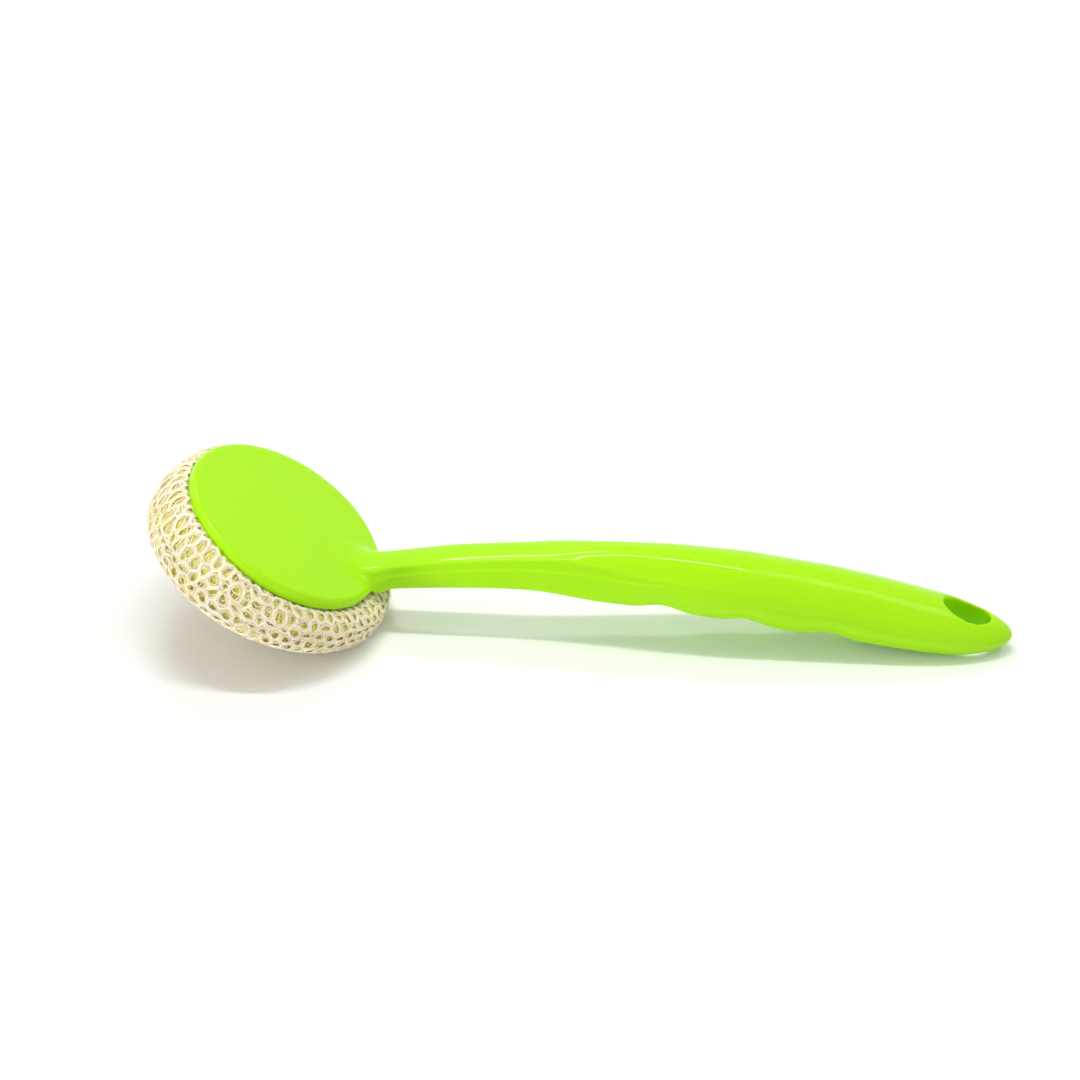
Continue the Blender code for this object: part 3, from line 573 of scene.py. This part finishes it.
def make_handle(material):
    """Loft, cap and ribs melt into one skin, whose corners are then rounded as a mould leaves them."""
    loft, cap = handle_loft(), cap_shell()
    loft_tree, cap_tree = BVHTree.FromPolygons(*loft), BVHTree.FromPolygons(*cap)
    shells = [with_hanging_hole(*loft), cap] + [rib_box(i) for i in range(RIB_COUNT)]
    obj, co, edges = melted("brush_handle", shells)
    mesh = obj.data
    hollow = in_hollow(co)
    co = round_root(mesh, co, edges, (loft_tree, cap_tree), hollow)
    co = round_hole(co, edges, loft_tree)
    co = relax(co, edges, np.where(hollow, 0.0, 1.0), SKIN_STEPS, SKIN_SHARE)
    mesh.vertices.foreach_set("co", co.ravel())
    mesh.shade_smooth()
    mesh.materials.append(material)
    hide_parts("handle")
    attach(obj, "root")


# Pad: the foam and the two layers of net follow the solids' outline

def pad_outline(inset, top_depth):
    """(radius, height from the equator, lean share) points from the pad's lowest point up and in."""
    radius = PAD_RADIUS - inset
    belly = PAD_BELLY_HEIGHT - inset
    shoulder = PAD_EQUATOR_DEPTH - top_depth
    points = []
    for k in range(OUTLINE_SAMPLES + 1):
        a = math.pi / 2 * (1 - k / OUTLINE_SAMPLES)
        power = 2 / PAD_BELLY_EXPONENT
        points.append((radius * abs(math.cos(a)) ** power, -belly * math.sin(a) ** power, 1.0))
    for k in range(1, OUTLINE_SAMPLES + 1):
        a = math.pi / 2 * k / OUTLINE_SAMPLES
        power = 2 / PAD_SHOULDER_EXPONENT
        rise = math.sin(a) ** power
        reach = blend(FLAT_RADIUS, radius, max(math.cos(a), 0) ** power)
        points.append((reach, shoulder * rise, 1 - rise ** LEAN_FADE_EXPONENT))
    points.append((0, shoulder, 0))
    navel = NAVEL_RADIUS + inset
    return [(r, h + NAVEL_DEPTH * (1 - smoothstep(0, navel, r)) if h < 0 and r < navel else h, s)
            for r, h, s in points]


def spaced_along(points, count, first_radius, last_radius):
    """Array of count + 1 points at even steps along an outline, between two radii."""
    points = np.array(points)
    lengths = np.r_[0, np.cumsum(np.hypot(*np.diff(points[:, :2], axis=0).T))]
    widest = int(points[:, 0].argmax())
    start = np.interp(first_radius, points[:widest, 0], lengths[:widest])
    end = np.interp(last_radius, points[widest:, 0][::-1], lengths[widest:][::-1])
    want = np.linspace(start, end, count + 1)
    return np.stack([np.interp(want, lengths, points[:, i]) for i in range(3)], axis=1)


def on_pad(point, angle):
    """Places in the model's frame of (radius, height, lean share) points at the given angles."""
    radius, height, share = point[..., 0], point[..., 1], point[..., 2]
    lean = PAD_LEAN * share
    x = radius * np.cos(angle)
    local = np.stack([x * np.cos(lean) - height * np.sin(lean) + PAD_SHIFT * share,
                      radius * np.sin(angle),
                      x * np.sin(lean) + height * np.cos(lean) - PAD_EQUATOR_DEPTH], axis=-1)
    return local @ np.array(HEAD.to_3x3()).T + np.array(HEAD.translation)


def swell_up(levels, angles):
    """How far the pad swells up: a little under the cap, more past its skirt, nothing at its own
    edge, and most on the side away from the handle."""
    reach = levels[:, 0]
    under = smoothsteps(CAP_RADIUS - SEAT_SWELL_START, CAP_RADIUS - SEAT_SWELL_END, reach)
    past = smoothsteps(CAP_RADIUS - RIM_SWELL_REACH, CAP_RADIUS + RIM_SWELL_REACH, reach)
    fade = smoothsteps(PAD_RADIUS - SWELL_FADE_END, CAP_RADIUS + SWELL_FADE_START, reach)
    swell = (SEAT_SWELL * under + RIM_SWELL * past) * fade * (levels[:, 1] > 0)
    away = -np.cos(angles)
    slack = 1 + away / 2 + np.abs(np.sin(angles)) * np.maximum(away, 0)
    return swell[:, None] * slack[None, :]


def waves(angle, level, seed, cycles):
    """Smooth seeded noise round the pad, from -1 to 1 or so."""
    rng = np.random.default_rng(seed)
    total = 0
    for _ in range(WAVE_COUNT):
        around = rng.integers(-cycles, cycles + 1)
        along = rng.uniform(-cycles, cycles)
        total = total + np.sin(around * angle + along * level * LEVEL_SPAN + rng.uniform(0, TURN))
    return total / math.sqrt(WAVE_COUNT / 2)


def normals_of(points):
    """Outward normals of a closed-ring grid of points, rings first."""
    around = np.roll(points, -1, axis=1) - np.roll(points, 1, axis=1)
    n = np.cross(around, np.gradient(points, axis=0))
    n /= np.maximum(np.linalg.norm(n, axis=-1, keepdims=True), 1e-12)
    centre = points.mean(axis=(0, 1))
    return n if ((points - centre) * n).sum(axis=-1).mean() >= 0 else -n


class Surface:
    """A smooth closed-ring surface of the pad that is read at any angle and level, 0 to 1."""

    def __init__(self, inset, top_depth, first_radius, last_radius, rows, columns):
        self.columns, self.rows = columns, rows
        levels = spaced_along(pad_outline(inset, top_depth), rows, first_radius, last_radius)
        angles = np.linspace(0, 2 * math.pi, columns, endpoint=False)
        up = np.array(HEAD.to_3x3().col[2])
        self.points = on_pad(levels[:, None, :], angles[None, :])
        self.points += swell_up(levels, angles)[..., None] * up
        self.normals = normals_of(self.points)

    def read(self, grid, angle, level):
        u = (angle / (2 * math.pi) * self.columns) % self.columns
        v = np.clip(level, 0, 1) * self.rows
        i = np.minimum(np.floor(v).astype(int), self.rows - 1)
        j = np.floor(u).astype(int) % self.columns
        k = (j + 1) % self.columns
        a, b = (v - i)[..., None], (u - np.floor(u))[..., None]
        return blend(blend(grid[i, j], grid[i, k], b), blend(grid[i + 1, j], grid[i + 1, k], b), a)

    def at(self, angle, level):
        n = self.read(self.normals, angle, level)
        return self.read(self.points, angle, level), n / np.linalg.norm(n, axis=-1, keepdims=True)


def yarn_rings(paths, lifts, radii, flatness, sides, looped):
    """Rings of points round yarns. Paths and outward lifts are (count, steps, 3)."""
    if looped:
        tangent = np.roll(paths, -1, axis=1) - np.roll(paths, 1, axis=1)
    else:
        tangent = np.gradient(paths, axis=1)
    tangent /= np.linalg.norm(tangent, axis=-1, keepdims=True)
    side = np.cross(tangent, lifts)
    side /= np.linalg.norm(side, axis=-1, keepdims=True)
    up = np.cross(side, tangent)
    turn = np.linspace(0, 2 * math.pi, sides, endpoint=False)[None, None, :, None]
    spokes = side[:, :, None, :] * np.cos(turn) + up[:, :, None, :] * np.sin(turn) * flatness
    return paths[:, :, None, :] + radii[:, :, None, None] * spokes


def yarn_faces(count, steps, sides, looped):
    """Quads along yarns, and their two ends unless they are loops."""
    i = np.arange(steps if looped else steps - 1)[:, None]
    j = np.arange(sides)[None, :]
    after, beside = (i + 1) % steps, (j + 1) % sides
    quads = np.stack([i * sides + j, i * sides + beside, after * sides + beside,
                      after * sides + j], axis=-1).reshape(-1, 4)
    starts = (np.arange(count) * steps * sides)[:, None, None]
    faces = [(quads[None] + starts).reshape(-1, 4)]
    if not looped:
        ends = np.stack([np.arange(sides)[::-1], (steps - 1) * sides + np.arange(sides)])
        faces.append((ends[None] + starts).reshape(-1, sides))
    return faces


def filaments(name, groups, material):
    """Thin yarns, all in one mesh that stays above the worktop. Each group holds what yarn_rings
    takes."""
    rings, loops, totals, start = [], [], [], 0
    for paths, lifts, radii, flatness, sides, looped in groups:
        rings.append(yarn_rings(paths, lifts, radii, flatness, sides, looped).reshape(-1, 3))
        for faces in yarn_faces(*paths.shape[:2], sides, looped):
            loops.append((faces + start).ravel())
            totals.append(np.full(len(faces), faces.shape[1]))
        start += len(rings[-1])
    verts, loops, totals = (np.concatenate(parts) for parts in (rings, loops, totals))
    verts[:, 2] = np.maximum(verts[:, 2], 0)
    mesh = bpy.data.meshes.new(name)
    mesh.vertices.add(len(verts))
    mesh.vertices.foreach_set("co", verts.ravel())
    mesh.loops.add(len(loops))
    mesh.loops.foreach_set("vertex_index", loops)
    mesh.polygons.add(len(totals))
    mesh.polygons.foreach_set("loop_start", np.r_[0, np.cumsum(totals)[:-1]])
    mesh.update(calc_edges=True)
    mesh.shade_smooth()
    mesh.materials.append(material)
    return link(name, mesh)


def gap_sides():
    """Pairs of (column step, row) knots, one for each side of a six-sided gap."""
    pairs = []
    for row in range(NET_ROWS + 1):
        for k in range(2 * NET_COLUMNS):
            pairs.append(((k, row), (k + 1, row)))
            if row < NET_ROWS and (k + row) % 2:
                pairs.append(((k, row), (k, row + 1)))
    return np.array(pairs, dtype=float)


def strained(k, row, seed, phase):
    """Angle and level of a knot or of any place between, where the knitting has slipped a little.
    The slips take the two seeds after the given one, and the rises the next two."""
    angle = math.pi * (k + phase) / NET_COLUMNS
    level = row / NET_ROWS
    slip, rise = 0, 0
    for i, cycles in enumerate(STRAIN_CYCLES):
        slip = slip + waves(angle, level, seed + 1 + i, cycles) * SLIP_SHARES[i]
        rise = rise + waves(angle, level, seed + 3 + i, cycles) * RISE_SHARES[i]
    return angle + slip * math.pi / NET_COLUMNS, level + rise / NET_ROWS


def zigzag(k, row):
    return np.where((k + row) % 2 > 0.5, ZIGZAG_SHARE, -ZIGZAG_SHARE)


def strewn(rng, amount, count):
    """A random share of an amount, either way, for each yarn."""
    return rng.uniform(-amount, amount, (count, 1))


def side_yarns(surface, seed, phase, overrun, steps, radius, flatness, sides, bow):
    """One yarn along each side of each gap. It runs past its knots and bows outwards between them."""
    rng = np.random.default_rng(seed)
    (k1, r1), (k2, r2) = gap_sides().transpose(1, 2, 0)
    r1, r2 = r1 + zigzag(k1, r1), r2 + zigzag(k2, r2)
    t = np.linspace(-overrun, 1 + overrun, steps)[None, :]
    k, row = blend(k1[:, None], k2[:, None], t), blend(r1[:, None], r2[:, None], t)
    angle, level = strained(k, row, seed, phase)
    keep = (level[:, 0] > 0) & (level[:, -1] < 1)
    point, normal = surface.at(angle[keep], level[keep])
    count = len(point)
    length = np.linalg.norm(point[:, -1] - point[:, 0], axis=-1)[:, None] / (1 + 2 * overrun)
    crowding = np.clip(length / FULL_PITCH, *SIDE_CROWDING)
    lift = bow * np.sin(math.pi * np.clip(t, 0, 1)) + strewn(rng, SIDE_LIFT, count)
    point = point + normal * (lift * crowding)[..., None]
    thickness = radius * crowding * (1 + strewn(rng, SIDE_THICKNESS_SHARE, count))
    return point, normal, thickness * np.ones_like(t), flatness, sides, False


def loop_yarns(surface, seed, steps, radius, sides, width, height, tilt):
    """One closed loop of yarn round each gap, bent and tilted a little at random."""
    rng = np.random.default_rng(seed + LOOP_SEED_STEP)
    cells = np.array([(k + 1, row + 0.5) for row in range(NET_ROWS)
                      for k in range(2 * NET_COLUMNS) if (k + row) % 2], dtype=float)
    count = len(cells)
    t = np.linspace(0, 2 * math.pi, steps, endpoint=False)[None, :]
    squeeze = rng.uniform(*LOOP_SQUEEZES, (count, 2))
    lean = strewn(rng, LOOP_LEAN, count)
    shape = 1 + HEXAGON_SHARE * np.cos(6 * t)
    for lobes, share in LOBE_SHARES:
        bend = strewn(rng, share, count)
        shape = shape + bend * np.cos(lobes * t + rng.uniform(0, TURN, (count, 1)))
    u = width * squeeze[:, :1] * np.cos(t) * shape
    v = height * squeeze[:, 1:] * np.sin(t) * shape
    angle, level = strained(cells[:, :1] + u + lean * v, cells[:, 1:] + v, seed, 0)
    point, normal = surface.at(angle, np.clip(level, LEVEL_LIMIT, 1 - LEVEL_LIMIT))
    size = np.linalg.norm(point[:, 0] - point[:, steps // 2], axis=-1)[:, None] / (2 * width)
    crowding = np.clip(size / FULL_PITCH, *LOOP_CROWDING)
    tilts = strewn(rng, tilt, count)
    lift = tilts * np.cos(t + rng.uniform(0, TURN, (count, 1))) + strewn(rng, LOOP_LIFT, count)
    point = point + normal * (lift * crowding)[..., None]
    thickness = radius * crowding * (1 + strewn(rng, LOOP_THICKNESS_SHARE, count))
    return point, normal, thickness * np.ones_like(t), 1.0, sides, True


def make_net(outer_material, inner_material):
    """Two layers of knitting. In the outer one two thin loops of yarn line each gap, and fuller
    yarns lie between the loops."""
    def surface(inset):
        return Surface(inset, NET_TOP_DEPTH + inset / 2, NET_NAVEL_RADIUS, NET_EYE_RADIUS,
                       SURFACE_ROWS, SURFACE_COLUMNS)

    outer = filaments("net_outer", [
        side_yarns(surface(0.85 * MM), NET_SEED, phase=0, overrun=0.14, steps=5,
                   radius=0.55 * MM, flatness=0.5, sides=6, bow=0.1 * MM),
        loop_yarns(surface(0.42 * MM), NET_SEED, steps=14, radius=0.17 * MM, sides=5,
                   width=0.68, height=0.39, tilt=0.14 * MM),
        loop_yarns(surface(0.5 * MM), NET_SEED, steps=14, radius=0.14 * MM, sides=5,
                   width=0.9, height=0.51, tilt=0.18 * MM),
    ], outer_material)
    inner = filaments("net_inner", [
        side_yarns(surface(1.05 * MM), INNER_NET_SEED, phase=0.8, overrun=0.15, steps=4,
                   radius=0.2 * MM, flatness=0.9, sides=5, bow=0.15 * MM),
    ], inner_material)
    for net in (outer, inner):
        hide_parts("net_cover")
        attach(net, "root")


def make_foam(material):
    """Foam lens: dented a little by the net, flat where it is pressed on the worktop, and hollowed
    above for the plate and its well."""
    surface = Surface(FOAM_INSET, FOAM_TOP_DEPTH, FOAM_TIP_RADIUS, PLATE_SEAT_RADIUS,
                      FOAM_ROWS, FOAM_COLUMNS)
    angles = np.linspace(0, 2 * math.pi, FOAM_COLUMNS, endpoint=False)[None, :]
    levels = np.linspace(0, 1, FOAM_ROWS + 1)[:, None]
    dents = sum(waves(angles, levels, seed, cycles) * size for seed, cycles, size in FOAM_DENTS) * MM
    fade = smoothsteps(1, FOAM_DENT_FADE, levels)
    points = surface.points + surface.normals * (dents * fade)[..., None]
    points[..., 2] = np.maximum(points[..., 2], FOAM_LOWEST)
    seats = ((PLATE_SEAT_RADIUS, PLATE_SEAT_DEPTH), (WELL_SEAT_RADIUS, PLATE_SEAT_DEPTH),
             (WELL_SEAT_RADIUS, WELL_SEAT_DEPTH))
    rings = list(points) + [[HEAD @ p for p in circle(radius, -depth, FOAM_COLUMNS)]
                            for radius, depth in seats]
    obj = mesh_object("foam_pad", *closed_tube(rings))
    bm = bmesh.new()
    bm.from_mesh(obj.data)
    bmesh.ops.recalc_face_normals(bm, faces=bm.faces)
    bm.to_mesh(obj.data)
    bm.free()
    obj.data.shade_smooth()
    obj.data.set_sharp_from_angle(angle=FOAM_SHARP_ANGLE)
    obj.data.materials.append(material)
    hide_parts("foam_core")
    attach(obj, "root")


# Materials

def new_material(name):
    material = bpy.data.materials.new(name)
    material.use_nodes = True
    tree = material.node_tree
    return material, tree, tree.nodes["Principled BSDF"]


def node(tree, kind, **values):
    made = tree.nodes.new(kind)
    for key, value in values.items():
        if key in made.inputs:
            made.inputs[key].default_value = value
        else:
            setattr(made, key, value)
    return made


def mapped(tree, kind, **values):
    """A texture that is laid by the object's own coordinates."""
    texture = node(tree, kind, **values)
    coords = node(tree, "ShaderNodeTexCoord")
    tree.links.new(coords.outputs["Object"], texture.inputs["Vector"])
    return texture.outputs


def noise(tree, scale, detail, roughness=0.5):
    return mapped(tree, "ShaderNodeTexNoise", Scale=scale, Detail=detail, Roughness=roughness)["Fac"]


def ramp(tree, value, stops):
    """Colours between (position, colour) stops."""
    made = tree.nodes.new("ShaderNodeValToRGB")
    elements = made.color_ramp.elements
    for i, (position, colour) in enumerate(stops):
        element = elements[i] if i < 2 else elements.new(position)
        element.position = position
        element.color = (*colour, 1)
    tree.links.new(value, made.inputs["Fac"])
    return made.outputs["Color"]


def bump(tree, height, strength, distance, normal=None):
    made = node(tree, "ShaderNodeBump", Strength=strength, Distance=distance)
    tree.links.new(height, made.inputs["Height"])
    if normal:
        tree.links.new(normal, made.inputs["Normal"])
    return made.outputs["Normal"]


def spread(tree, value, low, high):
    made = node(tree, "ShaderNodeMapRange")
    made.inputs["To Min"].default_value = low
    made.inputs["To Max"].default_value = high
    tree.links.new(value, made.inputs["Value"])
    return made.outputs["Result"]


def combined(tree, operation, first, second):
    made = node(tree, "ShaderNodeMath", operation=operation)
    tree.links.new(first, made.inputs[0])
    tree.links.new(second, made.inputs[1])
    return made.outputs["Value"]


def background_rays(tree):
    """1 for the rays that show the background: straight to the camera, by gloss or through glass."""
    path = node(tree, "ShaderNodeLightPath").outputs
    seen = combined(tree, "MAXIMUM", path["Is Camera Ray"], path["Is Glossy Ray"])
    return combined(tree, "MAXIMUM", seen, path["Is Transmission Ray"])


def green_plastic():
    """Glossy moulded plastic that light enters a little, with faint flow marks and fine scuffs."""
    material, tree, shader = new_material("green_gloss")
    flow = noise(tree, scale=14, detail=2)
    colour = ramp(tree, flow, [(0.3, (0.41, 0.85, 0.001)), (0.7, (0.43, 0.87, 0.002))])
    scuffs = noise(tree, scale=900, detail=4, roughness=0.6)
    peel = bump(tree, noise(tree, scale=260, detail=2), strength=0.05, distance=0.2 * MM)
    tree.links.new(colour, shader.inputs["Base Color"])
    tree.links.new(spread(tree, scuffs, low=0.06, high=0.13), shader.inputs["Roughness"])
    tree.links.new(peel, shader.inputs["Normal"])
    shader.inputs["IOR"].default_value = 1.49
    shader.inputs["Specular IOR Level"].default_value = 0.18
    shader.inputs["Subsurface Weight"].default_value = 0.12
    shader.inputs["Subsurface Radius"].default_value = (1.0, 1.3, 0.15)
    shader.inputs["Subsurface Scale"].default_value = 3 * MM
    return material


def white_plastic():
    """Plain unpigmented plastic, slightly hazy."""
    material, tree, shader = new_material("natural_plastic")
    haze = noise(tree, scale=60, detail=3)
    colour = ramp(tree, haze, [(0.3, (0.80, 0.80, 0.76)), (0.7, (0.87, 0.87, 0.84))])
    dullness = spread(tree, noise(tree, scale=700, detail=3), low=0.35, high=0.5)
    tree.links.new(colour, shader.inputs["Base Color"])
    tree.links.new(dullness, shader.inputs["Roughness"])
    return material


def yellow_foam():
    """Open-cell foam: small pores, in patches of deeper and paler ochre."""
    material, tree, shader = new_material("open_foam")
    cells = mapped(tree, "ShaderNodeTexVoronoi", Scale=1500)
    patches = noise(tree, scale=90, detail=4)
    colour = ramp(tree, patches, [(0.3, (0.90, 0.76, 0.12)), (0.55, (0.95, 0.86, 0.20)),
                                  (0.75, (0.97, 0.92, 0.36))])
    pores = bump(tree, cells["Distance"], strength=0.9, distance=0.5 * MM)
    grain = noise(tree, scale=500, detail=3)
    rough = bump(tree, grain, strength=0.5, distance=0.5 * MM, normal=pores)
    tree.links.new(colour, shader.inputs["Base Color"])
    tree.links.new(rough, shader.inputs["Normal"])
    shader.inputs["Roughness"].default_value = 0.95
    shader.inputs["Sheen Weight"].default_value = 0.2
    shader.inputs["Subsurface Weight"].default_value = 0.5
    shader.inputs["Subsurface Radius"].default_value = (1.0, 0.7, 0.2)
    shader.inputs["Subsurface Scale"].default_value = 6 * MM
    return material


def cream_yarn(name, light, dark):
    """Soft spun yarn: a twist along the fibres, a slight sheen and small shifts of colour."""
    material, tree, shader = new_material(name)
    colour = ramp(tree, noise(tree, scale=120, detail=3), [(0.3, dark), (0.7, light)])
    twist = mapped(tree, "ShaderNodeTexWave", Scale=900, Distortion=6, Detail=2,
                   bands_direction="DIAGONAL")
    fibres = bump(tree, twist["Fac"], strength=0.2, distance=0.1 * MM)
    fuzz = noise(tree, scale=2500, detail=2)
    spun = bump(tree, fuzz, strength=0.2, distance=0.1 * MM, normal=fibres)
    tree.links.new(colour, shader.inputs["Base Color"])
    tree.links.new(spun, shader.inputs["Normal"])
    shader.inputs["Roughness"].default_value = 0.8
    shader.inputs["Specular IOR Level"].default_value = 0.2
    shader.inputs["Sheen Weight"].default_value = 0.25
    shader.inputs["Sheen Roughness"].default_value = 0.5
    shader.inputs["Sheen Tint"].default_value = (1.0, 0.94, 0.82, 1)
    return material


def floor_material():
    """Pale worktop that keeps the shadows near the brush and shows as white further out."""
    material, tree, shader = new_material("pale_floor")
    grain = noise(tree, scale=6, detail=2)
    colour = ramp(tree, grain, [(0.3, (0.94, 0.94, 0.935)), (0.7, (0.95, 0.95, 0.945))])
    distance = node(tree, "ShaderNodeVectorMath", operation="LENGTH")
    coords = node(tree, "ShaderNodeTexCoord")
    tree.links.new(coords.outputs["Object"], distance.inputs[0])
    far = node(tree, "ShaderNodeMapRange", interpolation_type="SMOOTHSTEP")
    far.inputs["From Min"].default_value = WHITE_START
    far.inputs["From Max"].default_value = WHITE_END
    far.inputs["To Min"].default_value = NEAR_GLOW
    tree.links.new(distance.outputs["Value"], far.inputs["Value"])
    glow = combined(tree, "MULTIPLY", far.outputs["Result"], background_rays(tree))
    tree.links.new(colour, shader.inputs["Base Color"])
    tree.links.new(glow, shader.inputs["Emission Strength"])
    shader.inputs["Emission Color"].default_value = (1, 1, 1, 1)
    shader.inputs["Roughness"].default_value = 0.8
    shader.inputs["Specular IOR Level"].default_value = 0.1
    return material


# Set

def make_floor():
    size = FLOOR_HALF_SIZE
    verts = [(-size, -size, 0), (size, -size, 0), (size, size, 0), (-size, size, 0)]
    floor = mesh_object("worktop", verts, [(0, 1, 2, 3)], smooth=False)
    floor.data.materials.append(floor_material())
    floor.location.z = -FLOOR_DROP


def aim(obj, place, target, up=Vector((0, 0, 1))):
    back = (Vector(place) - Vector(target)).normalized()
    right = up.cross(back).normalized()
    turn = Matrix((right, back.cross(right), back)).transposed().to_4x4()
    obj.matrix_world = Matrix.Translation(place) @ turn


def make_camera():
    level = math.cos(CAMERA_ELEVATION)
    back = Vector((math.sin(CAMERA_AZIMUTH) * level, -math.cos(CAMERA_AZIMUTH) * level,
                   math.sin(CAMERA_ELEVATION)))
    data = bpy.data.cameras.new("camera")
    data.lens, data.sensor_width = LENS, SENSOR_WIDTH
    data.clip_start, data.clip_end = CLIP_START, CLIP_END
    camera = link("camera", data)
    aim(camera, CAMERA_TARGET + back * CAMERA_DISTANCE, CAMERA_TARGET)
    camera.matrix_world = camera.matrix_world @ Matrix.Rotation(CAMERA_ROLL, 4, "Z")
    bpy.context.scene.camera = camera


def softbox(name, place, target, width, depth, watts):
    data = bpy.data.lights.new(name, "AREA")
    data.shape, data.size, data.size_y, data.energy = "RECTANGLE", width, depth, watts
    light = link(name, data)
    aim(light, place, target, up=Vector((0, 1, 0)))
    return light


def make_world():
    """Soft white world, which shows as white and gives a little less light near the horizon."""
    world = bpy.data.worlds.new("studio")
    bpy.context.scene.world = world
    world.use_nodes = True
    tree = world.node_tree
    background = tree.nodes["Background"]
    background.inputs["Color"].default_value = (1, 1, 1, 1)
    axes = node(tree, "ShaderNodeSeparateXYZ")
    coords = node(tree, "ShaderNodeTexCoord")
    tree.links.new(coords.outputs["Generated"], axes.inputs["Vector"])
    light = spread(tree, axes.outputs["Z"], HORIZON_STRENGTH, ZENITH_STRENGTH)
    strength = combined(tree, "MAXIMUM", light, background_rays(tree))
    tree.links.new(strength, background.inputs["Strength"])


def make_lights():
    """The fill's grid keeps its light on the pad, and it isn't seen in the plastic."""
    lights = {name: softbox(name, *setting) for name, setting in SOFTBOXES.items()}
    lights["gridded_fill"].data.spread = FILL_SPREAD
    lights["gridded_fill"].visible_glossy = False


def main():
    make_camera()
    make_floor()
    make_world()
    make_lights()
    make_handle(green_plastic())
    make_foam(yellow_foam())
    outer = cream_yarn("outer_yarn", light=(0.99, 0.91, 0.74), dark=(0.98, 0.87, 0.56))
    inner = cream_yarn("inner_yarn", light=(0.98, 0.90, 0.58), dark=(0.96, 0.85, 0.42))
    make_net(outer, inner)
    kept = {"retaining_plate": white_plastic(), "draw_cord": outer, "navel_tie": outer}
    for name, material in kept.items():
        cad = frame["nodes"][name]
        cad.data.materials.clear()
        cad.data.materials.append(material)
    bpy.context.scene.view_settings.view_transform = "Standard"


main()
